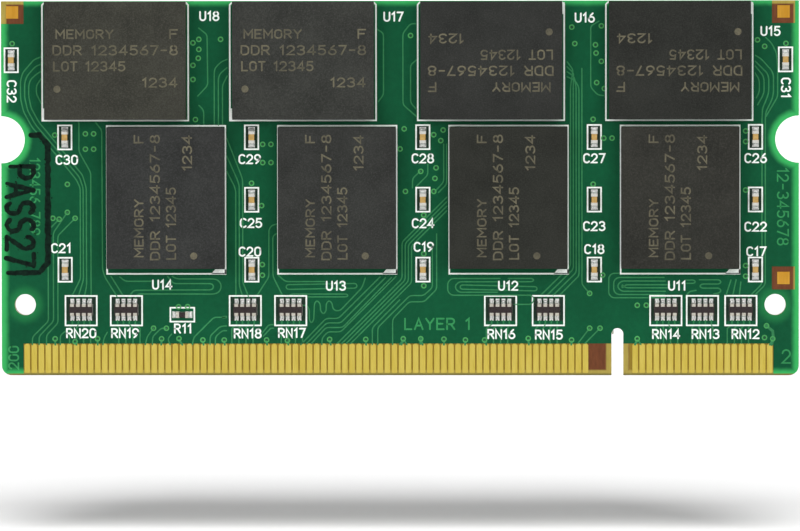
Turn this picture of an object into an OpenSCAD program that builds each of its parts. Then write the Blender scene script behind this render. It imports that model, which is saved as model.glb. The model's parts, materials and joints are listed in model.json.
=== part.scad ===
// Double-sided 200-contact small-outline memory module for a 2.5 V socket.
// X runs along the contact edge, Z rises from it and Y goes through the board.
// The origin is the middle of the contact edge, half way through the board.
// The even-numbered contacts face -Y and the odd-numbered ones +Y.
// Both faces are drawn in the same x and z, and height grows outwards from the board.

/* [Board] */
// Length of the board along the contact edge
board_length = 67.6; // [67.4:0.05:67.8]
// Height of the board above the contact edge
board_height = 31.75; // [31.6:0.05:31.9]
// Thickness of the bare laminate
laminate_thickness = 0.94; // [0.8:0.01:1.0]
// Thickness of the mask, the lands and the contacts on each face
coat_thickness = 0.03; // [0.02:0.01:0.06]
// Radius of the two corners beside the contacts
corner_radius = 0.85; // [0.3:0.05:1.2]
// Height of the bevel along the contact edge
bevel_height = 0.15; // [0.05:0.05:0.2]
// Depth of that bevel into each face
bevel_depth = 0.1; // [0.05:0.05:0.3]

/* [Holes and notches] */
// Diameter of the hole near each end
hole_diameter = 1.8; // [1.5:0.05:2.0]
// Distance from the end of the board to the hole's axis
hole_inset = 2.0; // [1.8:0.05:2.2]
// Height of the hole's axis above the contact edge
hole_rise = 6.0; // [5.5:0.1:6.5]
// Radius of the half-round notch that the socket's latch holds
latch_radius = 2.0; // [1.5:0.05:2.5]
// Height of that notch's centre above the contact edge
latch_rise = 20.0; // [18:0.1:22]
// Width of the key notch
key_width = 1.0; // [0.9:0.02:1.1]
// Height of the key notch's round top
key_height = 4.0; // [3.9:0.05:4.1]
// Distance from the middle of the board to the key notch
key_offset = 18.45; // [18.3:0.05:18.6]

/* [Contacts] */
// Distance from one contact to the next
contact_pitch = 0.6; // [0.58:0.01:0.62]
// Width of a contact
contact_width = 0.45; // [0.3:0.01:0.5]
// Height of a contact's lower end
contact_low = 0.2; // [0.2:0.05:0.5]
// Height of a contact's upper end
contact_high = 2.7; // [2.3:0.05:2.9]
// Contacts on each face in the long group
long_group = 80; // [70:1:80]
// Contacts on each face in the short group
short_group = 20; // [10:1:20]
// Distance from the key notch to the nearest even contact of the long group
key_to_long = 2.7; // [2.5:0.05:2.8]
// Distance from the key notch to the nearest even contact of the short group
key_to_short = 1.5; // [1.4:0.05:1.6]
// How much further along X the odd contacts sit
contact_stagger = 0.3; // [0.25:0.01:0.35]

/* [Memory packages] */
// Long side of a memory package
package_length = 12.0; // [11.8:0.05:12.2]
// Short side of a memory package
package_width = 10.0; // [9.6:0.05:10.1]
// Height of the black moulding above its substrate
moulding_height = 0.6; // [0.5:0.05:0.7]
// Thickness of the package's substrate
substrate_height = 0.25; // [0.2:0.01:0.3]
// Gap between board and substrate, which the solder balls fill
ball_height = 0.35; // [0.3:0.01:0.4]
// Diameter of a solder ball after reflow
ball_diameter = 0.46; // [0.42:0.01:0.5]
// Distance between ball rows along the package
ball_row_pitch = 1.0; // [0.9:0.05:1.0]
// Distance between ball columns across the package
ball_column_pitch = 0.8; // [0.75:0.01:0.82]
// Long side of the silicon die
die_length = 9.0; // [8:0.1:9.4]
// Short side of the silicon die
die_width = 7.0; // [6:0.1:8]
// Thickness of the silicon die
die_height = 0.25; // [0.2:0.01:0.3]
// Length of the substrate's bonding slot, which is longer than the die
slot_length = 10.4; // [10:0.1:10.6]
// Width of the bonding slot
slot_width = 0.8; // [0.6:0.05:0.9]
// Height of the moulded ridge that seals the slot on the ball side
ridge_height = 0.15; // [0.1:0.01:0.2]

/* [Package rows] */
// Height of the upper row, whose packages lie lengthways
upper_row_rise = 26.7; // [26.6:0.01:26.74]
// Height of the lower row, whose packages stand upright
lower_row_rise = 15.07; // [14.9:0.01:15.3]
// Distance between packages in the upper row
upper_row_pitch = 15.93; // [15.5:0.01:16.2]
// Distance between packages in the lower row
lower_row_pitch = 14.52; // [14.4:0.01:14.7]
// Middle of the upper row along X
upper_row_centre = -0.17; // [-0.3:0.01:0.3]
// Middle of the lower row along X
lower_row_centre = 1.98; // [1.8:0.01:2.1]

/* [Capacitors and resistors] */
// Length of a capacitor or a single resistor
chip_length = 1.0; // [0.95:0.01:1.05]
// Width of a capacitor or a single resistor
chip_width = 0.5; // [0.45:0.01:0.55]
// Height of a capacitor
capacitor_height = 0.5; // [0.45:0.01:0.55]
// Height of a resistor or a resistor network
resistor_height = 0.37; // [0.3:0.01:0.42]
// Length of each metal end on a capacitor or resistor
terminal_length = 0.24; // [0.2:0.01:0.3]
// Thickness of the metal on those ends
plating = 0.02; // [0.015:0.005:0.03]
// Length of a resistor network, which holds four resistors
network_length = 2.0; // [1.95:0.01:2.05]
// Width of a resistor network
network_width = 1.0; // [0.95:0.01:1.05]
// Distance between a network's terminals
network_pitch = 0.5; // [0.48:0.01:0.52]
// Width of a network's terminal
network_terminal = 0.32; // [0.28:0.01:0.36]
// Height of the row of networks above the contact edge
network_rise = 5.57; // [5.4:0.01:5.7]
// How far a solder fillet reaches out from a terminal
fillet_reach = 0.3; // [0.2:0.01:0.36]

/* [Configuration chip] */
// Width of the chip's body across its two rows of leads
eeprom_width = 4.4; // [4.3:0.05:4.5]
// Length of the chip's body along the leads
eeprom_length = 3.0; // [2.9:0.05:3.1]
// Thickness of the chip's body
eeprom_height = 0.9; // [0.8:0.05:1.0]
// Distance between neighbouring leads
lead_pitch = 0.65; // [0.6:0.01:0.7]
// Width across the tips of the leads
lead_span = 6.4; // [6.3:0.05:6.6]

/* [Hidden] */
$fn = 48;
EVEN = -1;
ODD = 1;
SIDES = [EVEN, ODD];

half_length = board_length / 2;
core_face = laminate_thickness / 2;
coat_face = core_face + coat_thickness;
substrate_low = coat_face + ball_height;
moulding_low = substrate_low + substrate_height;

// Mask opening round the contacts, and how far it runs past the end ones
window_margin = 0.3;

// Fiducial squares, as [x, z], and the square openings of the mask round them
fiducial_size = 1.05;
fiducial_window = 1.95;
fiducials = [
    [-half_length + 0.95, board_height - 0.95],
    [half_length - 1.3, board_height - 0.95],
    [half_length - 1.3, 8.25]
];

// Packages as [designator number, side, x, z, turn]: turn 90 lays a package on its side.
function upper_x(i) = upper_row_centre + (i - 1.5) * upper_row_pitch;
function lower_x(i) = lower_row_centre + (i - 1.5) * lower_row_pitch;
even_packages = concat(
    [for (i = [0 : 3]) [18 - i, EVEN, upper_x(i), upper_row_rise, 90]],
    [for (i = [0 : 3]) [14 - i, EVEN, lower_x(i), lower_row_rise, 0]]
);
odd_packages = concat(
    [for (i = [0 : 3]) [1 + i, ODD, upper_x(3 - i), upper_row_rise, 90]],
    [for (i = [0 : 3]) [5 + i, ODD, lower_x(3 - i), lower_row_rise, 0]]
);
packages = concat(even_packages, odd_packages);
function on_side(side) = side == EVEN ? even_packages : odd_packages;

// Ball map: six full rows of six balls, then six rows without the two outer columns.
ball_rows = 12;
full_rows = 6;
outer_column = 4;
inner_columns = [-3, -2, 2, 3];
balls = [
    for (row = [0 : ball_rows - 1])
        for (column = row < full_rows ? concat(-outer_column, inner_columns, outer_column) : inner_columns)
            [column * ball_column_pitch, (row - (ball_rows - 1) / 2) * ball_row_pitch]
];

// Capacitors stand in columns beside the lower packages, as [x, z, turn].
column_x = [
    -28.4,
    lower_row_centre - lower_row_pitch,
    lower_row_centre,
    lower_row_centre + lower_row_pitch,
    30.13
];
column_z = [20.2, 14.9, 8.97];
capacitors = concat(
    [for (i = [0 : 4]) for (k = [0 : 2]) if (i > 0 || k != 1) [column_x[i], column_z[k], 0]],
    [[-half_length + 0.87, 26.75, 0], [half_length - 1.13, 26.75, 0]]
);

// Resistor networks, by x only, and single resistors, as [x, z, turn]
shared_networks = [-27.05, -23.2, -13.1, -9.25, 8.55, 12.6, 22.55, 25.65, 28.9];
odd_networks = concat(shared_networks, [-2.3, 1.7]);
even_resistors = [[-18.45, 5.15, 90]];
odd_resistors = concat(
    [for (x = [-18.45, -5.8, 5.1, 17.6]) [x, 5.15, 90]],
    [for (i = [0 : 2]) for (z = [24.6, 28.2]) [upper_row_centre + (i - 1) * upper_row_pitch, z, 0]]
);
function networks(side) = side == EVEN ? shared_networks : odd_networks;
function resistors(side) = side == EVEN ? even_resistors : odd_resistors;

// Lands under two-ended parts and under networks
chip_land = [0.56, 0.6];
chip_land_offset = 0.55;
network_land = [network_terminal, 0.62];
network_land_offset = 0.62;

// The configuration chip sits on the odd face only.
eeprom_place = [-29.2, 14.3];
eeprom_standoff = 0.1;
lead_width = 0.25;
lead_thickness = 0.15;
lead_foot = 0.6;
lead_shoulder = 0.3;
lead_exit = 0.45;
eeprom_land = [0.9, 0.4];

// Takes a drawing in x and z, with height along its third axis, to one face of the board.
module on_face(side) {
    if (side == ODD)
        mirror([0, 1, 0]) rotate([90, 0, 0]) children();
    else
        rotate([90, 0, 0]) children();
}

// Lays a flat drawing on one face as a sheet of the coat's thickness.
module coat(side) {
    on_face(side) translate([0, 0, core_face]) linear_extrude(coat_thickness) children();
}

// Puts a part at [x, z, turn], standing on the lands.
module placed(place) {
    translate([place[0], place[1], coat_face]) rotate(place[2]) children();
}

// Repeats a part at both ends of its length, turned to face outwards.
module both_ends() {
    for (turn = [0, 180])
        rotate(turn) children();
}

// Repeats a part at each of a network's four terminals along one side.
module along_network() {
    for (i = [0 : 3])
        translate([(i - 1.5) * network_pitch, 0, 0]) children();
}

// A block centred in plan and standing on zero height
module block(size, low = 0) {
    translate([-size[0] / 2, -size[1] / 2, low]) cube(size);
}

// What is cut away outside a rounded corner whose tip is at the origin
module corner_cut() {
    difference() {
        translate([-1, -1]) square(corner_radius + 1);
        translate([corner_radius, corner_radius]) circle(corner_radius);
        translate([corner_radius, -2]) square([1, corner_radius + 2]);
        translate([-2, corner_radius]) square([corner_radius + 2, 1]);
    }
}

module board_outline() {
    difference() {
        translate([-half_length, 0]) square([board_length, board_height]);
        translate([-half_length, 0]) corner_cut();
        translate([half_length, 0]) mirror([1, 0]) corner_cut();
        for (end = [-1, 1]) {
            translate([end * half_length, latch_rise]) circle(latch_radius);
            translate([end * (half_length - hole_inset), hole_rise]) circle(hole_diameter / 2);
        }
        translate([key_offset - key_width / 2, -1]) square([key_width, key_height - key_width / 2 + 1]);
        translate([key_offset, key_height - key_width / 2]) circle(key_width / 2);
    }
}

module contact_bars(side) {
    shift = side == ODD ? contact_stagger : 0;
    bar = [contact_width, contact_high - contact_low];
    for (i = [0 : long_group - 1])
        translate([key_offset + shift - key_to_long - i * contact_pitch - bar[0] / 2, contact_low])
            square(bar);
    for (i = [0 : short_group - 1])
        translate([key_offset + shift + key_to_short + i * contact_pitch - bar[0] / 2, contact_low])
            square(bar);
}

module contact_window(side) {
    shift = side == ODD ? contact_stagger : 0;
    low_x = key_offset + shift - key_to_long - (long_group - 1) * contact_pitch - window_margin;
    high_x = key_offset + shift + key_to_short + (short_group - 1) * contact_pitch + window_margin;
    translate([low_x, -1]) square([high_x - low_x, contact_high + 1]);
}

module chip_lands(places) {
    for (place = places)
        translate([place[0], place[1]]) rotate(place[2]) both_ends()
            translate([0, chip_land_offset]) square(chip_land, center = true);
}

module network_lands(side) {
    for (x = networks(side))
        translate([x, network_rise]) both_ends() along_network()
            translate([0, network_land_offset]) square(network_land, center = true);
}

module eeprom_lands() {
    translate(eeprom_place) both_ends()
        for (i = [0 : 3])
            translate([(lead_span - lead_foot) / 2, (i - 1.5) * lead_pitch])
                square(eeprom_land, center = true);
}

module land_pattern(side) {
    chip_lands(capacitors);
    chip_lands(resistors(side));
    network_lands(side);
    if (side == ODD)
        eeprom_lands();
}

module board_laminate() {
    color("olivedrab") intersection() {
        rotate([90, 0, 0]) linear_extrude(laminate_thickness, center = true) board_outline();
        rotate([90, 0, 90]) linear_extrude(board_length + 2, center = true) polygon([
            [-core_face + bevel_depth, 0],
            [core_face - bevel_depth, 0],
            [core_face, bevel_height],
            [core_face, board_height],
            [-core_face, board_height],
            [-core_face, bevel_height]
        ]);
    }
}

module solder_mask(side) {
    color("darkgreen") coat(side) difference() {
        board_outline();
        translate([-half_length - 1, -1]) square([board_length + 2, bevel_height + 1]);
        contact_window(side);
        for (place = fiducials)
            translate(place) square(fiducial_window, center = true);
        land_pattern(side);
    }
}

module gold_contacts(side) {
    color("gold") coat(side) contact_bars(side);
}

module fiducial_marks(side) {
    color("goldenrod") coat(side)
        for (place = fiducials)
            translate(place) square(fiducial_size, center = true);
}

module solder_lands(side) {
    color("silver") coat(side) land_pattern(side);
}

// A wedge of solder of this width, up against the end face of a part
module fillet(width, rise) {
    rotate([90, 0, 90]) linear_extrude(width, center = true)
        polygon([[0, 0], [fillet_reach, 0], [0, rise]]);
}

module solder_joints(side) {
    color("lightgray") on_face(side) {
        for (place = capacitors)
            placed(place) both_ends() translate([0, chip_length / 2, 0])
                fillet(chip_width, capacitor_height * 0.7);
        for (place = resistors(side))
            placed(place) both_ends() translate([0, chip_length / 2, 0])
                fillet(chip_width, resistor_height * 0.8);
        for (x = networks(side))
            placed([x, network_rise, 0]) both_ends() along_network()
                translate([0, network_width / 2, 0]) fillet(network_terminal, resistor_height * 0.8);
    }
}

// The body of a two-ended part, which its metal ends wrap
module chip_core(height) {
    block([chip_width - 2 * plating, chip_length - 2 * plating, height - 2 * plating], plating);
}

module chip_ends(height) {
    both_ends() difference() {
        translate([0, (chip_length - terminal_length) / 2, 0])
            block([chip_width, terminal_length, height]);
        chip_core(height);
    }
}

module network_core() {
    block([network_length, network_width - 2 * plating, resistor_height - 2 * plating], plating);
}

module network_ends() {
    both_ends() difference() {
        along_network() translate([0, (network_width - terminal_length) / 2, 0])
            block([network_terminal, terminal_length, resistor_height]);
        network_core();
    }
}

module capacitor_bodies(side) {
    color("burlywood") on_face(side)
        for (place = capacitors)
            placed(place) chip_core(capacitor_height);
}

module capacitor_terminals(side) {
    color("gainsboro") on_face(side)
        for (place = capacitors)
            placed(place) chip_ends(capacitor_height);
}

module resistor_bodies(side) {
    color("white") on_face(side) {
        for (place = resistors(side))
            placed(place) chip_core(resistor_height);
        for (x = networks(side))
            placed([x, network_rise, 0]) network_core();
    }
}

// The dark glaze that covers the resistive film between the metal ends
module resistor_overcoats(side) {
    low = resistor_height - plating;
    color("black") on_face(side) {
        for (place = resistors(side))
            placed(place)
                block([chip_width - 2 * plating, chip_length - 2 * terminal_length, plating], low);
        for (x = networks(side))
            placed([x, network_rise, 0])
                block([network_length, network_width - 2 * terminal_length, plating], low);
    }
}

module resistor_terminals(side) {
    color("gainsboro") on_face(side) {
        for (place = resistors(side))
            placed(place) chip_ends(resistor_height);
        for (x = networks(side))
            placed([x, network_rise, 0]) network_ends();
    }
}

// A reflowed ball: a sphere flattened where it meets the board and the substrate
module ball() {
    translate([0, 0, ball_height / 2]) rotate_extrude() intersection() {
        circle(ball_diameter / 2);
        translate([0, -ball_height / 2]) square([ball_diameter, ball_height]);
    }
}

// Puts a drawing of one package at its place, at height zero on its own face.
module at_package(package) {
    on_face(package[1]) translate([package[2], package[3], 0]) rotate(package[4]) children();
}

module solder_balls(side) {
    color("lightgray")
        for (package = on_side(side))
            at_package(package)
                for (place = balls)
                    translate([place[0], place[1], coat_face]) ball();
}

module memory_dies(side) {
    color("slategray")
        for (package = on_side(side))
            at_package(package) block([die_width, die_length, die_height], moulding_low);
}

module memory_substrate(package) {
    color("olive") at_package(package) difference() {
        block([package_width, package_length, substrate_height], substrate_low);
        block([slot_width, slot_length, substrate_height + 1], substrate_low - 0.5);
    }
}

// The moulding covers the die, fills the slot and ends in a ridge between the balls.
module memory_chip(package) {
    color("dimgray") at_package(package) difference() {
        union() {
            block([package_width, package_length, moulding_height], moulding_low);
            block([slot_width, slot_length, substrate_height], substrate_low);
            block([2 * slot_width, slot_length + 0.4, ridge_height], substrate_low - ridge_height);
        }
        block([die_width, die_length, die_height], moulding_low);
    }
}

module eeprom_body() {
    color("dimgray") on_face(ODD) translate(eeprom_place)
        block([eeprom_width, eeprom_length, eeprom_height], coat_face + eeprom_standoff);
}

// One gull-wing lead, drawn as a stepped strip from the body's wall to its foot
module lead() {
    wall = eeprom_width / 2;
    tip = lead_span / 2;
    bend = tip - lead_foot;
    rotate([90, 0, 0]) linear_extrude(lead_width, center = true) polygon([
        [wall, lead_exit],
        [wall + lead_shoulder, lead_exit],
        [bend, 0],
        [tip, 0],
        [tip, lead_thickness],
        [bend + lead_thickness, lead_thickness],
        [wall + lead_shoulder + lead_thickness, lead_exit + lead_thickness],
        [wall, lead_exit + lead_thickness]
    ]);
}

module eeprom_leads() {
    color("gainsboro") on_face(ODD) placed([eeprom_place[0], eeprom_place[1], 0])
        both_ends()
            for (i = [0 : 3])
                translate([0, (i - 1.5) * lead_pitch, 0]) lead();
}

// Each kind of node that both faces have is named after the face it is on.
side_names = ["even", "odd"];
side_kinds = [
    "solder_mask",
    "gold_contacts",
    "fiducials",
    "solder_lands",
    "solder_joints",
    "capacitor_bodies",
    "capacitor_terminals",
    "resistor_bodies",
    "resistor_overcoats",
    "resistor_terminals",
    "solder_balls",
    "memory_dies"
];

board_laminate();
for (k = [0, 1]) {
    side = SIDES[k];
    name = side_names[k];
    solder_mask(side);
    gold_contacts(side);
    fiducial_marks(side);
    solder_lands(side);
    solder_joints(side);
    capacitor_bodies(side);
    capacitor_terminals(side);
    resistor_bodies(side);
    resistor_overcoats(side);
    resistor_terminals(side);
    solder_balls(side);
    memory_dies(side);
}
for (package = packages) {
    memory_substrate(package);
    memory_chip(package);
}
eeprom_body();
eeprom_leads();
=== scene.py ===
import json
import math
import random

import bpy
from mathutils import Matrix, Vector


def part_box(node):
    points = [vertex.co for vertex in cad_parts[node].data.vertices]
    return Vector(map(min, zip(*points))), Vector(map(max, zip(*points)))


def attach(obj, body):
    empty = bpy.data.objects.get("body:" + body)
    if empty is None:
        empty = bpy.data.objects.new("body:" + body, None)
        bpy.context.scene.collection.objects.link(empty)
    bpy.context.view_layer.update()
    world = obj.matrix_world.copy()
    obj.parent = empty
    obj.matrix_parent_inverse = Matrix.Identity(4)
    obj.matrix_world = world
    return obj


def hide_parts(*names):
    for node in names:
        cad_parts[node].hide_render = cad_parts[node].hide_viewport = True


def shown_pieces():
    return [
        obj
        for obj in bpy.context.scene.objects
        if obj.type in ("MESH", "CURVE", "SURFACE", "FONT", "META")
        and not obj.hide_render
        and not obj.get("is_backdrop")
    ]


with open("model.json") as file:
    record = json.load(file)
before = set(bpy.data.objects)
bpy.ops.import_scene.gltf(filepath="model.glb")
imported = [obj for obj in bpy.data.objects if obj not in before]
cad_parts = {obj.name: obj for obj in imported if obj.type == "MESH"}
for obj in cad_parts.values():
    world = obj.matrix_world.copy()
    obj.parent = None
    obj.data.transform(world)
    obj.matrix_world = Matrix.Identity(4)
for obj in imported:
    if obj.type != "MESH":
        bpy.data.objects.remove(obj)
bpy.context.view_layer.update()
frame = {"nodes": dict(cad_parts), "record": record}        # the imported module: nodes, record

# Sizes below are in millimetres, like the board's drawing; MM turns them into Blender's metres.
# Each face of the board has its own flat axes: u to the right and v up, as seen from outside it,
# and a height h that is counted from the middle of the laminate.
MM = 0.001
RECORD = frame["record"]
MOUNTS = {mount["name"]: mount for mount in RECORD["mounts"]}

HALF_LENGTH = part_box("board_laminate")[1].x / MM
BOARD_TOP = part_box("board_laminate")[1].z / MM
CORE_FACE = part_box("board_laminate")[1].y / MM
MASK_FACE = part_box("solder_mask_odd")[1].y / MM
CHIP_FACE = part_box("memory_chip_u1")[1].y / MM
HOLE = MOUNTS["right_hole"]
NOTCH = MOUNTS["right_latch_notch"]
KEY_X = 18.45            # the key notch, which no box of the frame gives
KEY_HALF = 0.5
KEY_CENTRE_Z = 3.5
BARE_X = 17.7            # the bare laminate on both sides of the key, where no contacts fit
BARE_HALF = 1.75
PLANE_SETBACK = 0.52     # how far the copper planes inside stay back from every edge
GLOW_START = 0.15        # the mask is at its brightest this near an edge, and dark from GLOW_END on
GLOW_END = 0.78
TOP_SHIELD = 0.17        # the planes come this much nearer to the top edge

EVEN_CHIPS = ["u18", "u17", "u16", "u15", "u14", "u13", "u12", "u11"]
ODD_CHIPS = ["u4", "u3", "u2", "u1", "u8", "u7", "u6", "u5"]


# ---------------------------------------------------------------- colours and node helpers

def linear(red, green, blue):
    """A colour given as 0 to 255 display values, as Blender's linear numbers."""
    def one(value):
        value /= 255
        return value / 12.92 if value <= 0.04045 else ((value + 0.055) / 1.055) ** 2.4
    return (one(red), one(green), one(blue), 1.0)


class Nodes:
    """A material's node tree, with short calls for the nodes that the materials below share."""

    def __init__(self, name, roughness=0.5, metallic=0.0, specular=0.5):
        self.material = bpy.data.materials.new(name)
        self.material.use_nodes = True
        self.tree = self.material.node_tree
        self.shader = self.tree.nodes["Principled BSDF"]
        self.shader.inputs["Roughness"].default_value = roughness
        self.shader.inputs["Metallic"].default_value = metallic
        self.shader.inputs["Specular IOR Level"].default_value = specular
        self._coordinates = None

    def add(self, kind, **settings):
        node = self.tree.nodes.new(kind)
        for key, value in settings.items():
            setattr(node, key, value)
        return node

    def link(self, source, target):
        self.tree.links.new(source, target)

    def put(self, socket, value):
        """Sets a socket to a number or links it to another socket."""
        if isinstance(value, bpy.types.NodeSocket):
            self.link(value, socket)
        else:
            socket.default_value = value

    def math(self, operation, first, second=0.0):
        node = self.add("ShaderNodeMath", operation=operation)
        for socket, value in zip(node.inputs, (first, second)):
            self.put(socket, value)
        return node.outputs[0]

    def place(self):
        """The surface point in the frame's own axes, in millimetres, as a vector socket."""
        if self._coordinates is None:
            source = self.add("ShaderNodeTexCoord")
            scale = self.add("ShaderNodeVectorMath", operation="SCALE")
            self.link(source.outputs["Object"], scale.inputs[0])
            scale.inputs["Scale"].default_value = 1 / MM
            self._coordinates = scale.outputs[0]
        return self._coordinates

    def axes(self):
        split = self.add("ShaderNodeSeparateXYZ")
        self.link(self.place(), split.inputs[0])
        return split.outputs

    def stretched(self, x, y, z, offset=0.0):
        """The point scaled by a different number along each axis, for grain with a direction."""
        node = self.add("ShaderNodeMapping")
        self.link(self.place(), node.inputs["Vector"])
        node.inputs["Scale"].default_value = (x, y, z)
        node.inputs["Location"].default_value = (offset, offset, offset)
        return node.outputs[0]

    def noise(self, scale, detail=3.0, roughness=0.55, vector=None):
        node = self.add("ShaderNodeTexNoise")
        self.link(vector or self.place(), node.inputs["Vector"])
        node.inputs["Scale"].default_value = scale
        node.inputs["Detail"].default_value = detail
        node.inputs["Roughness"].default_value = roughness
        return node.outputs["Fac"]

    def spread(self, value, low, high, new_low=0.0, new_high=1.0, smooth=False):
        """Maps a value from one range to another, held inside the new range."""
        node = self.add("ShaderNodeMapRange")
        if smooth:
            node.interpolation_type = "SMOOTHSTEP"
        self.put(node.inputs["Value"], value)
        ends = {"From Min": low, "From Max": high, "To Min": new_low, "To Max": new_high}
        for name, number in ends.items():
            self.put(node.inputs[name], number)
        return node.outputs[0]

    def mix(self, factor, first, second):
        node = self.add("ShaderNodeMix", data_type="RGBA")
        self.put(node.inputs["Factor"], factor)
        self.put(node.inputs[6], first)
        self.put(node.inputs[7], second)
        return node.outputs[2]

    def colour(self, value):
        self.put(self.shader.inputs["Base Color"], value)

    def rough(self, value):
        self.put(self.shader.inputs["Roughness"], value)

    def bump(self, height, strength, distance=0.02):
        node = self.add("ShaderNodeBump")
        self.put(node.inputs["Height"], height)
        node.inputs["Strength"].default_value = strength
        node.inputs["Distance"].default_value = distance * MM
        self.link(node.outputs[0], self.shader.inputs["Normal"])

    def edge_distance(self, with_key):
        """How far the point is from the board's edges and latch notches, and from the key if asked"""
        x, _, z = self.axes()
        across = self.math("ABSOLUTE", x)
        nearest = self.math("SUBTRACT", HALF_LENGTH, across)
        nearest = self.math("MINIMUM", nearest, self.math("SUBTRACT", BOARD_TOP + TOP_SHIELD, z))
        nearest = self.math("MINIMUM", nearest, z)
        nearest = self.math("MINIMUM", nearest, self.rim_distance(across, z, NOTCH))
        if not with_key:
            return nearest
        above_key = self.math("MAXIMUM", z, KEY_CENTRE_Z)
        away = self.from_point(x, above_key, KEY_X, KEY_CENTRE_Z)
        return self.math("MINIMUM", nearest, self.math("SUBTRACT", away, KEY_HALF))

    def rim_distance(self, across, z, mount):
        """How far the point is outside the rim of a round mount, which both ends of the board have"""
        centre_x, _, centre_z = mount["pos_m"]
        away = self.from_point(across, z, centre_x / MM, centre_z / MM)
        return self.math("SUBTRACT", away, mount["dims"]["r_mm"])

    def hole_distance(self):
        x, _, z = self.axes()
        return self.rim_distance(self.math("ABSOLUTE", x), z, HOLE)

    def from_point(self, x, z, centre_x, centre_z):
        dx = self.math("SUBTRACT", x, centre_x)
        dz = self.math("SUBTRACT", z, centre_z)
        squares = self.math("ADD", self.math("POWER", dx, 2.0), self.math("POWER", dz, 2.0))
        return self.math("SQRT", squares)


# ---------------------------------------------------------------- materials

def mask_material(name, dark, bright, hole_light):
    """Green solder mask: light comes through the board where the inner copper planes stop short."""
    m = Nodes(name, roughness=0.4, specular=0.05)
    wander = m.math("MULTIPLY", m.math("SUBTRACT", m.noise(1.6, 4.0), 0.5), 0.16)
    distance = m.math("ADD", m.edge_distance(with_key=False), wander)
    glow = m.spread(distance, GLOW_END, GLOW_START, smooth=True)
    hole_glow = m.spread(m.hole_distance(), 1.0, 0.0, 0.0, hole_light, smooth=True)
    glow = m.math("MAXIMUM", glow, hole_glow)
    patches = m.spread(m.noise(0.16, 3.0), 0.3, 0.7)
    body = m.mix(patches, linear(*dark), linear(*(c * 1.13 for c in dark)))
    weave = m.spread(m.noise(1.0, 2.0, vector=m.stretched(3.2, 1.0, 3.2)), 0.35, 0.65)
    body = m.mix(m.math("MULTIPLY", weave, 0.25), body, linear(*(c * 0.8 for c in dark)))
    m.colour(m.mix(glow, body, linear(*bright)))
    m.rough(m.spread(m.noise(6.0, 3.0), 0.3, 0.7, 0.34, 0.48))
    m.bump(m.noise(5.0, 4.0), 0.25, 0.01)
    return m.material


def laminate_material():
    """Glass-fibre laminate: brown over the copper planes, straw where light comes through, and painted shade
    along its lower edge.
    """
    m = Nodes("bare_laminate", roughness=0.5, specular=0.12)
    glow = m.spread(m.edge_distance(with_key=True), PLANE_SETBACK, PLANE_SETBACK - 0.14)
    fibre = m.noise(1.0, 3.0, vector=m.stretched(5.0, 1.0, 1.2))
    over_copper = m.mix(fibre, linear(88, 50, 30), linear(122, 72, 44))
    clear = m.mix(fibre, linear(150, 132, 56), linear(182, 164, 84))
    between = m.mix(fibre, linear(126, 102, 30), linear(152, 128, 46))
    aside = m.math("ABSOLUTE", m.math("SUBTRACT", m.axes()[0], BARE_X))
    low = m.math("LESS_THAN", m.axes()[2], 2.7)
    in_row = m.math("MULTIPLY", low, m.math("GREATER_THAN", aside, BARE_HALF))
    over_copper = m.mix(in_row, over_copper, between)
    flat = m.mix(glow, over_copper, clear)
    # Painted shade: below 0.22 mm the laminate is mixed towards a dark olive, standing in for the shade on
    # the bevelled lower edge
    flat = m.mix(m.spread(m.axes()[2], 0.22, 0.1), flat, linear(116, 108, 54))
    facing = m.add("ShaderNodeSeparateXYZ")
    m.link(m.add("ShaderNodeNewGeometry").outputs["True Normal"], facing.inputs[0])
    on_edge = m.spread(m.math("ABSOLUTE", facing.outputs[1]), 0.8, 0.6)
    layers = m.noise(1.0, 2.0, vector=m.stretched(0.35, 14.0, 0.35))
    edge = m.mix(m.spread(layers, 0.35, 0.65), linear(96, 96, 44), linear(150, 146, 84))
    m.colour(m.mix(on_edge, flat, edge))
    m.rough(m.spread(fibre, 0.3, 0.7, 0.42, 0.62))
    m.bump(m.noise(1.0, 3.0, vector=m.stretched(9.0, 9.0, 9.0)), 0.3, 0.02)
    return m.material


def gold_material(name, colour, worn):
    """Plated contacts, brushed lengthways by the socket's springs"""
    m = Nodes(name, roughness=0.34, metallic=0.85, specular=0.5)
    scratches = m.noise(1.0, 4.0, 0.6, m.stretched(26.0, 1.0, 1.1))
    tone = m.noise(1.0, 2.0, 0.5, m.stretched(1.9, 1.0, 0.3))
    base = m.mix(m.spread(tone, 0.3, 0.7), linear(*colour), linear(*worn))
    m.colour(m.mix(m.spread(scratches, 0.45, 0.8, 0.0, 0.3), base, linear(*(c * 0.78 for c in colour))))
    m.rough(m.spread(scratches, 0.3, 0.7, 0.3, 0.5))
    m.bump(scratches, 0.2, 0.006)
    return m.material


def grained(name, colours, noise, span=None, gloss=None, bump=(0.2, 0.01), bump_noise=None, **shader):
    """Two near colours in fine grain. The grain may be sharpened by a span, change the gloss within two
    roughnesses, and raise a bump of a given strength and depth, or leave the bump to a noise of its own."""
    m = Nodes(name, **shader)
    grain = m.noise(*noise)
    share = m.spread(grain, *span) if span else grain
    m.colour(m.mix(share, linear(*colours[0]), linear(*colours[1])))
    if gloss:
        m.rough(m.spread(grain, 0.3, 0.7, *gloss))
    if bump:
        m.bump(m.noise(*bump_noise) if bump_noise else grain, *bump)
    return m.material


def resistor_material():
    """Alumina that is dark with glaze on its outer face, where the resistive film is"""
    m = Nodes("resistor_ceramic", roughness=0.5, specular=0.3)
    outward = m.math("ABSOLUTE", m.axes()[1])
    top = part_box("resistor_bodies_even")[0].y / -MM
    glazed = m.spread(outward, top - 0.03, top - 0.01)
    speckle = m.noise(10.0, 3.0)
    pale = m.mix(speckle, linear(196, 196, 188), linear(232, 232, 226))
    dark = m.mix(speckle, linear(38, 27, 25), linear(60, 46, 42))
    m.colour(m.mix(glazed, pale, dark))
    m.bump(speckle, 0.2, 0.01)
    return m.material


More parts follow.
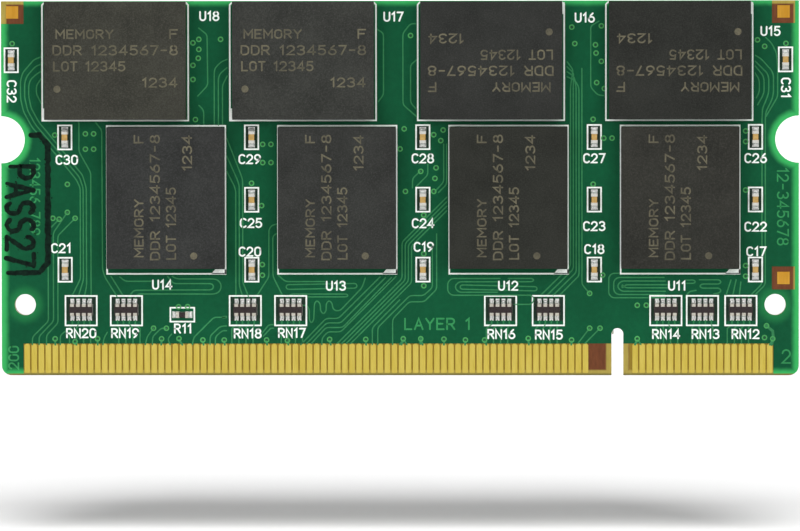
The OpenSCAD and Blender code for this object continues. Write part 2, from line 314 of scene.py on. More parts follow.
def moulding_material(name, colour, offset):
    """Black epoxy with fine grey filler grain and faint smears from handling"""
    m = Nodes(name, roughness=0.62, specular=0.06)
    grain = m.noise(1.0, 4.0, 0.7, m.stretched(9.0, 9.0, 9.0, offset))
    cloud = m.noise(1.0, 4.0, 0.6, m.stretched(0.34, 0.34, 0.34, offset))
    dull, pale, filler, pit = (linear(*(c * share for c in colour)) for share in (0.9, 1.14, 1.55, 0.6))
    base = m.mix(m.spread(cloud, 0.3, 0.72), dull, pale)
    base = m.mix(m.spread(grain, 0.5, 0.82, 0.0, 0.75), base, filler)
    base = m.mix(m.spread(grain, 0.5, 0.2, 0.0, 0.6), base, pit)
    m.colour(base)
    m.rough(m.spread(cloud, 0.3, 0.7, 0.55, 0.72))
    m.bump(grain, 0.5, 0.02)
    return m.material


def mark_material(name, ink, under, offset):
    """Laser marking, which fades into the moulding in places"""
    m = Nodes(name, roughness=0.7, specular=0.06)
    wear = m.noise(1.0, 3.0, 0.6, m.stretched(0.5, 0.5, 0.5, offset))
    fine = m.noise(1.0, 3.0, 0.6, m.stretched(6.0, 6.0, 6.0, offset))
    strength = m.spread(wear, 0.36, 0.62, 1.0, 0.55)
    strength = m.math("MULTIPLY", strength, m.spread(fine, 0.25, 0.6, 0.55, 1.0))
    m.colour(m.mix(strength, linear(*under), linear(*ink)))
    m.bump(fine, 0.2, 0.01)
    return m.material


def substrate_material():
    m = Nodes("package_substrate", roughness=0.45, specular=0.3)
    fibre = m.noise(1.0, 3.0, vector=m.stretched(2.0, 18.0, 2.0))
    m.colour(m.mix(fibre, linear(44, 48, 22), linear(94, 92, 46)))
    m.bump(fibre, 0.2, 0.01)
    return m.material


MASK = mask_material("solder_mask", (16, 79, 50), (58, 174, 94), hole_light=0.27)
TRACE = mask_material("mask_over_copper", (52, 122, 78), (90, 200, 120), hole_light=0.22)
VIA = mask_material("mask_over_vias", (72, 150, 86), (100, 210, 130), hole_light=0.22)
ETCHED = mask_material("mask_over_etched_text", (52, 136, 82), (90, 200, 120), hole_light=0.22)
LAMINATE = laminate_material()
GOLD = gold_material("contact_gold", (214, 190, 80), (222, 201, 97))
FIDUCIAL_GOLD = gold_material("fiducial_gold", (206, 148, 44), (220, 166, 64))
RESISTOR = resistor_material()
SUBSTRATE = substrate_material()

SPAN = (0.3, 0.7)        # a noise sharpened this much is mostly one colour or the other
TIN = {"noise": (11.0, 4.0, 0.65), "span": SPAN, "gloss": (0.36, 0.55), "roughness": 0.4, "metallic": 0.55}
TINNED = grained("tinned_metal", ((196, 194, 186), (226, 226, 220)), **TIN)
DULL_TIN = grained("dull_tinned_metal", ((176, 171, 158), (214, 210, 198)), **TIN)
SOLDER = grained("bright_solder", ((214, 214, 210), (244, 244, 242)), (4.0, 4.0), gloss=(0.24, 0.42),
                 bump=(0.25, 0.012), bump_noise=(7.0, 3.0), roughness=0.3, metallic=0.7)
CERAMIC = grained("tan_ceramic", ((172, 136, 72), (202, 166, 98)), (3.2, 5.0, 0.6), SPAN, (0.36, 0.55),
                  bump=(0.3, 0.01), bump_noise=(14.0, 3.0), roughness=0.42, specular=0.4)
GLAZE = grained("resistor_glaze", ((26, 18, 20), (50, 38, 38)), (8.0, 3.0), gloss=(0.24, 0.4),
                bump=(0.25, 0.01), roughness=0.3, specular=0.35)
SILICON = grained("silicon", ((84, 88, 98), (120, 122, 132)), (0.8,), bump=None, roughness=0.2, metallic=0.7)
SILK = grained("silkscreen_ink", ((252, 255, 252), (228, 240, 230)), (7.0, 3.0), (0.3, 0.75),
               bump=(0.3, 0.01), bump_noise=(16.0, 3.0), roughness=0.6, specular=0.1)
VIA_HOLE = grained("via_hole", ((12, 52, 32), (30, 92, 56)), (6.0, 3.0), SPAN, roughness=0.6, specular=0.2)
BED = grained("dark_bed", ((16, 38, 30), (28, 52, 36)), (3.0, 3.0), SPAN, roughness=0.6, specular=0.2)
INK = grained("stamping_ink", ((7, 17, 14), (16, 40, 29)), (3.2, 3.0), SPAN, roughness=0.5, specular=0.06)


# ---------------------------------------------------------------- flat drawing

def arc(centre, radii, start, end, step=15.0):
    """Points along part of an ellipse, from one angle in degrees to another"""
    count = max(2, math.ceil(abs(end - start) / step - 1e-6))
    angles = [math.radians(start + (end - start) * i / count) for i in range(count + 1)]
    return [(centre[0] + radii[0] * math.cos(a), centre[1] + radii[1] * math.sin(a)) for a in angles]


def circle(centre, radius, sides):
    step = 360 / sides
    return arc(centre, (radius, radius), 0, 360 - step, step)


def cleaned(points):
    """The path without repeated points"""
    kept = [points[0]]
    for point in points[1:]:
        if math.dist(point, kept[-1]) > 1e-4:
            kept.append(point)
    return kept


def offset_path(points, distance):
    """The path moved sideways, to the left of its direction when the distance is positive"""
    points = cleaned(points)
    directions = [
        ((b[0] - a[0]) / math.dist(a, b), (b[1] - a[1]) / math.dist(a, b))
        for a, b in zip(points, points[1:])
    ]
    moved = []
    for i, (x, y) in enumerate(points):
        before = directions[max(i - 1, 0)]
        after = directions[min(i, len(directions) - 1)]
        nx, ny = -(before[1] + after[1]), before[0] + after[0]
        length = math.hypot(nx, ny) or 1.0
        nx, ny = nx / length, ny / length
        stretch = max(0.45, -before[1] * nx + before[0] * ny)
        moved.append((x + nx * distance / stretch, y + ny * distance / stretch))
    return moved


def softened(points, radius, steps=4):
    """The path with each corner rounded by a short curve"""
    points = cleaned(points)
    out = [points[0]]
    for before, corner, after in zip(points, points[1:], points[2:]):
        reach = min(radius, math.dist(before, corner) / 2, math.dist(corner, after) / 2)
        start = toward(corner, before, reach)
        end = toward(corner, after, reach)
        for i in range(steps + 1):
            t = i / steps
            out.append(tuple(
                (1 - t) ** 2 * start[k] + 2 * t * (1 - t) * corner[k] + t ** 2 * end[k] for k in (0, 1)
            ))
    out.append(points[-1])
    return out


def toward(start, end, distance):
    share = distance / (math.dist(start, end) or 1.0)
    return (start[0] + (end[0] - start[0]) * share, start[1] + (end[1] - start[1]) * share)


def ribbon(points, width, cap_steps=4):
    """A stroke along the path: its left side, its right side, and the two round caps between them"""
    points = cleaned(points)
    left = offset_path(points, width / 2)
    right = offset_path(points, -width / 2)
    first, last = points[0], points[-1]
    end_angle = math.degrees(math.atan2(last[1] - points[-2][1], last[0] - points[-2][0]))
    start_angle = math.degrees(math.atan2(points[1][1] - first[1], points[1][0] - first[0]))
    radii = (width / 2, width / 2)
    step = 180 / cap_steps
    cap_end = arc(last, radii, end_angle + 90, end_angle - 90, step)[1:-1]
    cap_start = arc(first, radii, start_angle - 90, start_angle - 270, step)[1:-1]
    return left, right, cap_end, cap_start


def rectangle(low, high, radius=0.0, steps=3):
    """A rectangle's outline, anticlockwise, with round corners if a radius is given"""
    if radius <= 0:
        return [low, (high[0], low[1]), high, (low[0], high[1])]
    corners = [
        ((high[0] - radius, low[1] + radius), -90), ((high[0] - radius, high[1] - radius), 0),
        ((low[0] + radius, high[1] - radius), 90), ((low[0] + radius, low[1] + radius), 180),
    ]
    return [
        point for centre, start in corners
        for point in arc(centre, (radius, radius), start, start + 90, 90 / steps)
    ]


def turned(points, centre, angle):
    """Points about the origin, turned by an angle in degrees and moved to a centre"""
    c, s = math.cos(math.radians(angle)), math.sin(math.radians(angle))
    return [(centre[0] + x * c - y * s, centre[1] + x * s + y * c) for x, y in points]


# Each glyph is a list of strokes in a box one unit high. A stroke is a list of points and of arcs,
# and an arc is (centre x, centre y, radius x, radius y, start angle, end angle).
GLYPHS = {
    "0": (0.6, [[(0.3, 0.7, 0.3, 0.3, 0, 180), (0.3, 0.3, 0.3, 0.3, 180, 360), (0.6, 0.7)]]),
    "1": (0.34, [[(0.04, 0.78), (0.26, 1), (0.26, 0)]]),
    "2": (0.6, [[(0.3, 0.71, 0.29, 0.29, 172, -38), (0, 0), (0.6, 0)]]),
    "3": (0.6, [[(0.28, 0.76, 0.27, 0.24, 155, -90)], [(0.28, 0.27, 0.31, 0.27, 90, -150)]]),
    "4": (0.62, [[(0.46, 0), (0.46, 1), (0, 0.28), (0.62, 0.28)]]),
    "5": (0.6, [[(0.55, 1), (0.09, 1), (0.05, 0.56), (0.28, 0.32, 0.31, 0.32, 118, -145)]]),
    "6": (0.6, [[(0.46, 1), (0.22, 0.76), (0.3, 0.3, 0.3, 0.3, 155, -205)]]),
    "7": (0.58, [[(0, 1), (0.58, 1), (0.2, 0)]]),
    "8": (0.6, [[(0.3, 0.76, 0.25, 0.24, 90, 450)], [(0.3, 0.27, 0.3, 0.27, 90, 450)]]),
    "9": (0.6, [[(0.14, 0), (0.38, 0.24), (0.3, 0.7, 0.3, 0.3, -25, 335)]]),
    "A": (0.64, [[(0, 0), (0.32, 1), (0.64, 0)], [(0.12, 0.34), (0.52, 0.34)]]),
    "C": (0.6, [[(0.32, 0.68, 0.32, 0.32, 35, 180), (0.32, 0.32, 0.32, 0.32, 180, 325)]]),
    "D": (0.6, [[(0, 0), (0, 1), (0.26, 0.66, 0.34, 0.34, 90, 0), (0.26, 0.34, 0.34, 0.34, 0, -90),
                  (0, 0)]]),
    "E": (0.54, [[(0.54, 1), (0, 1), (0, 0), (0.54, 0)], [(0, 0.52), (0.44, 0.52)]]),
    "F": (0.54, [[(0.54, 1), (0, 1), (0, 0)], [(0, 0.52), (0.44, 0.52)]]),
    "L": (0.52, [[(0, 1), (0, 0), (0.52, 0)]]),
    "M": (0.72, [[(0, 0), (0, 1), (0.36, 0.36), (0.72, 1), (0.72, 0)]]),
    "N": (0.6, [[(0, 0), (0, 1), (0.6, 0), (0.6, 1)]]),
    "P": (0.58, [[(0, 0), (0, 1), (0.32, 0.74, 0.26, 0.26, 90, -90), (0, 0.48)]]),
    "R": (0.6, [[(0, 0), (0, 1), (0.32, 0.74, 0.26, 0.26, 90, -90), (0, 0.48)],
                 [(0.3, 0.48), (0.6, 0)]]),
    "S": (0.58, [[(0.29, 0.75, 0.27, 0.25, 35, 270), (0.29, 0.25, 0.29, 0.25, 90, -145)]]),
    "T": (0.6, [[(0, 1), (0.6, 1)], [(0.3, 1), (0.3, 0)]]),
    "U": (0.6, [[(0, 1), (0.3, 0.3, 0.3, 0.3, 180, 360), (0.6, 1)]]),
    "Y": (0.62, [[(0, 1), (0.31, 0.5), (0.62, 1)], [(0.31, 0.5), (0.31, 0)]]),
    "-": (0.5, [[(0.04, 0.5), (0.46, 0.5)]]),
    " ": (0.36, []),
}
GLYPHS["O"] = GLYPHS["0"]
LETTER_GAP = 0.27


def text_strokes(text, height, squeeze=1.0):
    """The strokes of a line of text, centred on the origin, and the line's width"""
    strokes = []
    pen = 0.0
    gap = LETTER_GAP * squeeze
    for character in text:
        width, glyph = GLYPHS[character]
        for stroke in glyph:
            points = []
            for item in stroke:
                points += [item] if len(item) == 2 else arc(item[:2], item[2:4], item[4], item[5], 20.0)
            strokes.append([((pen + x * squeeze) * height, (y - 0.5) * height) for x, y in points])
        pen += width * squeeze + gap
    width = (pen - gap) * height
    return [[(x - width / 2, y) for x, y in stroke] for stroke in strokes], width


def squeeze_to(width, text, height):
    """How much narrower or wider the text has to be for its line to have the given width"""
    return width / text_strokes(text, height)[1]


class Face:
    """One face of the board: its flat axes, and what the frame says lies on it"""

    def __init__(self, name, direction, chips):
        self.name = name
        self.direction = direction      # which way +u runs along the frame's X
        self.chips = chips

    def point(self, u, v, h):
        return (u * self.direction * MM, -h * self.direction * MM, v * MM)

    def flat_box(self, low, high):
        """A frame box, in metres, as this face's ((low u, low v), (high u, high v))"""
        ends = sorted((low[0] * self.direction / MM, high[0] * self.direction / MM))
        return (ends[0], low[2] / MM), (ends[1], high[2] / MM)

    def node(self, kind):
        return f"{kind}_{self.name}"


EVEN = Face("even", 1, EVEN_CHIPS)
ODD = Face("odd", -1, ODD_CHIPS)
FACES = (EVEN, ODD)


STROKE_LIFT = 0.0006     # strokes drawn one after another differ this much in height,
STROKE_LIFTS = 5         # over this many heights


class Plates:
    """Collects thin closed plates on one face, and makes them one piece"""

    def __init__(self, face):
        self.face = face
        self.points = []
        self.polygons = []
        self.strokes = 0

    def plate(self, outline, low, high, top=None):
        """A plate from one height to another. Its upper outline may be a smaller one."""
        area = sum(a[0] * b[1] - b[0] * a[1] for a, b in zip(outline, outline[1:] + outline[:1]))
        top = top or outline
        if area < 0:
            outline, top = outline[::-1], top[::-1]
        self.loft([outline, top], [low, high])

    def ring(self, outer, inner, low, high):
        """A closed band between two outlines with the same number of points, both anticlockwise"""
        count, base = len(outer), len(self.points)
        for outline, height in ((outer, low), (inner, low), (outer, high), (inner, high)):
            self.points += [self.face.point(u, v, height) for u, v in outline]
        for i in range(count):
            j = (i + 1) % count
            o, n, O, N = (base + count * k for k in range(4))
            self.polygons.append([O + i, O + j, N + j, N + i])
            self.polygons.append([o + j, o + i, n + i, n + j])
            self.polygons.append([o + i, o + j, O + j, O + i])
            self.polygons.append([n + j, n + i, N + i, N + j])

    def stroke(self, points, width, low, high, slope=0.0):
        """A closed ribbon with round ends. Strokes that cross each other get slightly different heights."""
        self.strokes += 1
        high += STROKE_LIFT * (self.strokes % STROKE_LIFTS)
        loops = []
        for lift, wide in ((low, width), (high, width - 2 * slope)):
            left, right, cap_end, cap_start = ribbon(points, wide)
            n, m = len(left), len(cap_end)
            start = len(self.points)
            self.points += [self.face.point(u, v, lift) for u, v in left + right + cap_end + cap_start]
            side_a = [start + i for i in range(n)]
            side_b = [start + n + i for i in range(n)]
            end = [start + 2 * n + i for i in range(m)]
            begin = [start + 2 * n + m + i for i in range(m)]
            faces = [[side_a[i], side_b[i], side_b[i + 1], side_a[i + 1]] for i in range(n - 1)]
            faces.append([side_a[-1], side_b[-1]] + end[::-1])
            faces.append([side_b[0], side_a[0]] + begin[::-1])
            if lift == low:
                faces = [face[::-1] for face in faces]
            self.polygons += faces
            loops.append(side_a + end + side_b[::-1] + begin)
        under, over = loops
        count = len(under)
        for i in range(count):
            j = (i + 1) % count
            self.polygons.append([under[j], under[i], over[i], over[j]])

    def write(self, text, centre, height, thickness, low, high, angle=0.0, squeeze=1.0):
        for stroke in text_strokes(text, height, squeeze)[0]:
            self.stroke(turned(stroke, centre, angle), thickness, low, high)

    def loft(self, outlines, heights):
        """A closed solid through outlines with the same number of points, each at its own height"""
        count, base = len(outlines[0]), len(self.points)
        for outline, height in zip(outlines, heights):
            self.points += [self.face.point(u, v, height) for u, v in outline]
        self.polygons.append([base + i for i in reversed(range(count))])
        last = base + count * (len(outlines) - 1)
        self.polygons.append([last + i for i in range(count)])
        for layer in range(len(outlines) - 1):
            for i in range(count):
                j = (i + 1) % count
                a, b = base + layer * count, base + (layer + 1) * count
                self.polygons.append([a + i, a + j, b + j, b + i])

    def piece(self, name, material, slot, smooth=False):
        mesh = bpy.data.meshes.new(name)
        mesh.from_pydata(self.points, [], self.polygons)
        mesh.validate()
        obj = bpy.data.objects.new(name, mesh)
        bpy.context.scene.collection.objects.link(obj)
        obj.data.materials.append(material)
        if smooth:
            mesh.shade_smooth()
        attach(obj, "root")
        return obj


def islands(node):
    """The boxes of the separate solids in a CAD node, in metres, from left to right and top to bottom"""
    mesh = frame["nodes"][node].data
    parent = {}

    def root(key):
        while parent[key] != key:
            parent[key] = parent[parent[key]]
            key = parent[key]
        return key

    keys = [tuple(round(c * 1e6) for c in vertex.co) for vertex in mesh.vertices]
    for key in keys:
        parent.setdefault(key, key)
    for polygon in mesh.polygons:
        first = root(keys[polygon.vertices[0]])
        for index in polygon.vertices[1:]:
            parent[root(keys[index])] = first
    groups = {}
    for key in set(keys):
        groups.setdefault(root(key), []).append(key)
    boxes = [
        tuple(tuple(pick(key[axis] for key in group) / 1e6 for axis in range(3)) for pick in (min, max))
        for group in groups.values()
    ]
    return sorted(boxes, key=lambda box: (round((box[0][0] + box[1][0]) * 500), -(box[0][2] + box[1][2])))


def middle(flat_box):
    (low_u, low_v), (high_u, high_v) = flat_box
    return ((low_u + high_u) / 2, (low_v + high_v) / 2)


# ---------------------------------------------------------------- carried-over CAD nodes

def dress(node, material, edge=0.0, segments=2):
    """Gives a CAD node its material and, where an edge radius is given, soft edges"""
    obj = frame["nodes"][node]
    for material_slot in obj.material_slots:
        material_slot.material = material
    if edge:
        weld = obj.modifiers.new("weld", "WELD")
        weld.merge_threshold = 1e-7
        bevel = obj.modifiers.new("soft_edges", "BEVEL")
        bevel.width = edge * MM
        bevel.segments = segments
        bevel.limit_method = "ANGLE"
        bevel.angle_limit = math.radians(40)
        bevel.use_clamp_overlap = True


CHIP_TINTS = {
    "u18": (57, 57, 51), "u17": (53, 54, 51), "u16": (46, 47, 45), "u15": (43, 44, 41),
    "u14": (50, 51, 50), "u13": (50, 51, 49), "u12": (44, 45, 41), "u11": (48, 48, 44),
}
ODD_TINT = (53, 54, 52)


FACE_FINISHES = [
    ("solder_mask", MASK, 0.0), ("fiducials", FIDUCIAL_GOLD, 0.0), ("solder_lands", SOLDER, 0.0),
    ("capacitor_bodies", CERAMIC, 0.0), ("capacitor_terminals", TINNED, 0.035),
    ("resistor_bodies", RESISTOR, 0.0), ("resistor_overcoats", GLAZE, 0.0),
    ("resistor_terminals", DULL_TIN, 0.025), ("solder_balls", SOLDER, 0.0), ("memory_dies", SILICON, 0.0),
]


def dress_frame():
    dress("board_laminate", LAMINATE)
    for face in FACES:
        for kind, material, edge in FACE_FINISHES:
            dress(face.node(kind), material, edge)
        for index, chip in enumerate(face.chips):
            tint = CHIP_TINTS.get(chip, ODD_TINT)
            offset = 3.7 * index + 11.0 * face.direction
            moulding = moulding_material(f"moulding_{chip}", tint, offset)
            dress(f"memory_substrate_{chip}", SUBSTRATE)
            dress(f"memory_chip_{chip}", moulding, edge=0.05)
    eeprom = moulding_material("moulding_eeprom", (50, 50, 50), offset=40.0)
    dress("eeprom_body", eeprom, edge=0.12, segments=3)
    dress("eeprom_leads", TINNED, edge=0.02)


dress_frame()

# ---------------------------------------------------------------- contacts and solder

CONTACT_CORNER = 0.1
CONTACT_SHOULDER = 0.14
CONTACT_CHAMFER = 0.012
CONTACT_FLANK = 0.015    # the plating's own thickness on each flank of a contact
FILLET_REACH = 0.3
FILLET_STEPS = 5
FILLET_TIP = 0.02        # how far the solder still reaches at its top
FILLET_FLARE = 0.03      # how much wider it is at its foot, on each side
FILLET_OVERLAP = 0.03    # how far it goes under the metal end
FILLET_ROUND = 0.45      # its corners' radius, as a share of its shorter side


def gold_contacts(face):
    """Plated fingers with round lower corners and a soft upper rim, where the CAD has plain bars"""
    node = face.node("gold_contacts")
    plates = Plates(face)
    for low, high in islands(node):
        low, high = face.flat_box(low, high)
        low, high = (low[0] - CONTACT_FLANK, low[1]), (high[0] + CONTACT_FLANK, high[1])
        r = CONTACT_CORNER
        outline = arc((low[0] + r, low[1] + r), (r, r), 180, 270, 30)
        outline += arc((high[0] - r, low[1] + r), (r, r), 270, 360, 30)
        r = CONTACT_SHOULDER
        outline += [(high[0], high[1] - r), (high[0] - r, high[1])]
        outline += [(low[0] + r, high[1]), (low[0], high[1] - r)]
        top = offset_loop(outline, -CONTACT_CHAMFER)
        plates.plate(outline, CORE_FACE, MASK_FACE, top)
    piece = plates.piece(f"contact_fingers_{face.name}", GOLD, "gold")
    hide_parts(node)


def offset_loop(outline, distance):
    """A closed outline grown, or shrunk when the distance is negative. It runs anticlockwise."""
    count = len(outline)
    moved = []
    for i in range(count):
        before, here, after = outline[i - 1], outline[i], outline[(i + 1) % count]
        d1 = (here[0] - before[0], here[1] - before[1])
        d2 = (after[0] - here[0], after[1] - here[1])
        l1, l2 = math.hypot(*d1), math.hypot(*d2)
        n1 = (d1[1] / l1, -d1[0] / l1)
        n2 = (d2[1] / l2, -d2[0] / l2)
        nx, ny = n1[0] + n2[0], n1[1] + n2[1]
        length = math.hypot(nx, ny)
        stretch = (n1[0] * nx + n1[1] * ny) / length
        moved.append((here[0] + nx / length * distance / stretch, here[1] + ny / length * distance / stretch))
    return moved


def solder_fillets(face):
    """Solder that climbs each metal end in a hollow curve, where the CAD has wedges"""
    node = face.node("solder_joints")
    parts = [middle(face.flat_box(*box)) for kind in ("capacitor_bodies", "resistor_bodies")
             for box in islands(face.node(kind))]
    plates = Plates(face)
    for low, high in islands(node):
        rise = (high[1] - low[1]) / MM
        low, high = face.flat_box(low, high)
        centre = middle((low, high))
        part = min(parts, key=lambda p: math.dist(p, centre))
        outlines, heights = [], []
        for step in range(FILLET_STEPS + 1):
            t = step / FILLET_STEPS
            reach = FILLET_REACH * (1 - math.sin(math.radians(90 * t))) + FILLET_TIP
            heights.append(MASK_FACE + rise * (1 - math.cos(math.radians(90 * t))) ** 0.8)
            outlines.append(fillet_outline(low, high, part, reach, FILLET_FLARE * (1 - t)))
        plates.loft(outlines, heights)
    piece = plates.piece(f"solder_fillets_{face.name}", SOLDER, "solder", smooth=True)
    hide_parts(node)


def fillet_outline(low, high, part, reach, flare):
    """The outline of a fillet at one height: it starts inside the part's end and reaches outwards"""
    (u0, v0), (u1, v1) = low, high
    if abs(part[1] - (v0 + v1) / 2) > abs(part[0] - (u0 + u1) / 2):
        if part[1] < v0:
            v0, v1 = v0 - FILLET_OVERLAP, v0 + reach
        else:
            v0, v1 = v1 - reach, v1 + FILLET_OVERLAP
        u0, u1 = u0 - flare, u1 + flare
    else:
        if part[0] < u0:
            u0, u1 = u0 - FILLET_OVERLAP, u0 + reach
        else:
            u0, u1 = u1 - reach, u1 + FILLET_OVERLAP
        v0, v1 = v0 - flare, v1 + flare
    radius = FILLET_ROUND * min(u1 - u0, v1 - v0)
    return rectangle((u0, v0), (u1, v1), radius, steps=2)


for board_face in FACES:
    gold_contacts(board_face)
    solder_fillets(board_face)

# ---------------------------------------------------------------- silkscreen

INK_LOW = MASK_FACE - 0.005
INK_HIGH = MASK_FACE + 0.014
SILK_WIDTH = 0.13
DESIGNATOR_HEIGHT = 0.72
DESIGNATOR_STROKE = 0.14
DESIGNATOR_SQUEEZE = 1.05
CAPACITOR_OUTLINE = (1.14, 2.03)
NETWORK_OUTLINE = (2.66, 2.5)
NETWORK_OUTLINE_DROP = 0.08
RESISTOR_OUTLINE = (1.18, 2.03)
NETWORK_LEAST_LENGTH = 1.5   # longer resistor bodies than this are networks
LYING_MARGINS = (0.24, 0.16, 0.08)      # outline outside a lying package: left, right, below
LYING_TOP = 31.62
LYING_CUT = 0.2
STANDING_MARGINS = (0.03, 0.45, 0.1)    # outline outside a standing package: each side, below, above
LOWER_PATCH = (21.6, 22.65)             # the heights of the three kinds of pin-1 patch
UPPER_PATCH = (30.6, 31.6)
CORNER_PATCH = (8.6, 9.0)


def size_of(box):
    return (box[1][0] - box[0][0]) / MM, (box[1][2] - box[0][2]) / MM


class Layout:
    """Where the parts of one face are, read from the frame, in the face's own axes"""

    def __init__(self, face):
        capacitor_boxes = islands(face.node("capacitor_bodies"))
        resistor_boxes = islands(face.node("resistor_bodies"))
        self.capacitors = [middle(face.flat_box(*box)) for box in capacitor_boxes]
        wide = [box for box in resistor_boxes if size_of(box)[0] > NETWORK_LEAST_LENGTH]
        small = [box for box in resistor_boxes if size_of(box)[0] <= NETWORK_LEAST_LENGTH]
        self.networks = [middle(face.flat_box(*box)) for box in wide]
        self.resistors = [(middle(face.flat_box(*box)), size_of(box)[0] > size_of(box)[1]) for box in small]
        self.packages = {}
        for chip in face.chips:
            self.packages[chip] = face.flat_box(*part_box(f"memory_chip_{chip}"))


LAYOUTS = {face.name: Layout(face) for face in FACES}


def printed_rectangle(plates, low, high):
    outline = rectangle(low, high)
    half = SILK_WIDTH / 2
    plates.ring(offset_loop(outline, half), offset_loop(outline, -half), INK_LOW, INK_HIGH)


def package_outlines(plates, face):
    """The printed outline round each package: open at the top round the lying ones"""
    for low, high in LAYOUTS[face.name].packages.values():
        if high[0] - low[0] > high[1] - low[1]:
            left, right, below = LYING_MARGINS
            u0, u1, v0 = low[0] - left, high[0] + right, low[1] - below
            plates.stroke([(u0 + LYING_CUT, LYING_TOP), (u0, LYING_TOP - LYING_CUT), (u0, v0), (u1, v0),
                           (u1, LYING_TOP - LYING_CUT), (u1 - LYING_CUT, LYING_TOP)],
                          SILK_WIDTH, INK_LOW, INK_HIGH)
        else:
            side, below, above = STANDING_MARGINS
            printed_rectangle(plates, (low[0] - side, low[1] - below), (high[0] + side, high[1] + above))


def pin_marks(plates, face):
    """A filled patch beside the first ball of each package"""
    for index, (low, high) in enumerate(LAYOUTS[face.name].packages.values()):
        if index < 2:
            patch = rectangle((low[0] - 0.28, LOWER_PATCH[0]), (low[0] - 0.01, LOWER_PATCH[1]))
        elif index < 4:
            patch = rectangle((high[0] + 0.01, UPPER_PATCH[0]), (high[0] + 0.2, UPPER_PATCH[1]))
        else:
            bottom, top = CORNER_PATCH
            right = high[0] + 0.1
            patch = [(high[0] - 1.2, bottom), (right, bottom), (right, top), (high[0] - 0.85, top)]
        plates.plate(patch, INK_LOW, INK_HIGH)


def part_outlines(plates, face):
    layout = LAYOUTS[face.name]
    for places, size, drop in (
        (layout.capacitors, CAPACITOR_OUTLINE, 0.0),
        (layout.networks, NETWORK_OUTLINE, NETWORK_OUTLINE_DROP),
        ([p for p, flat in layout.resistors if not flat], RESISTOR_OUTLINE, 0.0),
        ([p for p, flat in layout.resistors if flat], RESISTOR_OUTLINE[::-1], 0.0),
    ):
        for u, v in places:
            half_u, half_v = size[0] / 2, size[1] / 2
            printed_rectangle(plates, (u - half_u, v - half_v - drop), (u + half_u, v + half_v - drop))


# Labels stand beside their parts: each is the text, the place of its middle in board x and z, and its turn.
EVEN_LABELS = [
    ("C30", -28.23, 18.3, 0), ("C21", -28.74, 10.8, 0), ("C29", -12.7, 18.35, 0), ("C25", -12.6, 12.93, 0),
    ("C20", -12.7, 10.5, 0), ("C28", 1.98, 18.4, 0), ("C24", 2, 12.9, 0), ("C19", 2.05, 10.9, 0),
    ("C27", 16.5, 18.4, 0), ("C23", 16.5, 12.65, 0), ("C18", 16.5, 10.7, 0), ("C26", 30.15, 18.4, 0),
    ("C22", 30.15, 12.6, 0), ("C17", 30.21, 10.5, 0), ("C32", -32.9, 24.1, -90), ("C31", 32.7, 24.35, -90),
    ("U14", -20.15, 7.7, 0), ("U13", -5.4, 7.6, 0), ("U12", 9.2, 7.6, 0), ("U11", 23.5, 7.6, 0),
    ("U18", -16.1, 30.47, 0), ("U17", -0.5, 30.4, 0), ("U16", 15.7, 30.3, 0), ("U15", 31.4, 29.15, 0),
    ("RN20", -27.05, 3.58, 0), ("RN19", -23.32, 3.58, 0), ("RN18", -12.9, 3.55, 0), ("RN17", -9.15, 3.6, 0),
    ("RN16", 8.62, 3.5, 0), ("RN15", 12.65, 3.45, 0), ("RN14", 22.58, 3.5, 0), ("RN13", 25.92, 3.5, 0),
    ("RN12", 29.3, 3.5, 0), ("R11", -18.4, 3.97, 0),
]


def odd_labels():
    """The odd face's parts, numbered from its own left to right"""
    layout = LAYOUTS["odd"]
    labels = [(f"C{16 - i}", (u, v - 1.85), 0) for i, (u, v) in enumerate(layout.capacitors) if abs(u) < 32]
    labels += [(f"RN{11 - i}", (u, v - 2.05), 0) for i, (u, v) in enumerate(layout.networks)]
    for i, ((u, v), flat) in enumerate(layout.resistors):
        labels.append((f"R{10 - i}", (u, v - 1.3 if flat else v - 1.6), 0))
    for chip, (low, high) in layout.packages.items():
        tall = high[1] - low[1] > high[0] - low[0]
        place = ((low[0] + high[0]) / 2, 7.65) if tall else (high[0] + 1.4, 30.3)
        labels.append((chip.upper(), place, 0))
    labels.append(("U9", (29.2, 17.4), 0))
    return labels


def silkscreen(face):
    plates = Plates(face)
    package_outlines(plates, face)
    pin_marks(plates, face)
    part_outlines(plates, face)
    labels = [(text, (x, z), turn) for text, x, z, turn in EVEN_LABELS] if face is EVEN else odd_labels()
    for text, place, turn in labels:
        plates.write(text, place, DESIGNATOR_HEIGHT, DESIGNATOR_STROKE, INK_LOW, INK_HIGH, turn,
                     DESIGNATOR_SQUEEZE)
    plates.piece(f"silkscreen_{face.name}", SILK, "silkscreen")


# The dark patches inside the printed outlines of the small parts, left clear of the lands
BED_LOW = MASK_FACE - 0.006
BED_HIGH = MASK_FACE + 0.004
LAND_HALF = 0.28
LAND_FROM = 0.25
LAND_TO = 0.85
NETWORK_LAND_HALF = 0.16
NETWORK_PITCH = 0.5
NETWORK_BED_TOP = 1.1
NETWORK_BED_BOTTOM = -0.95


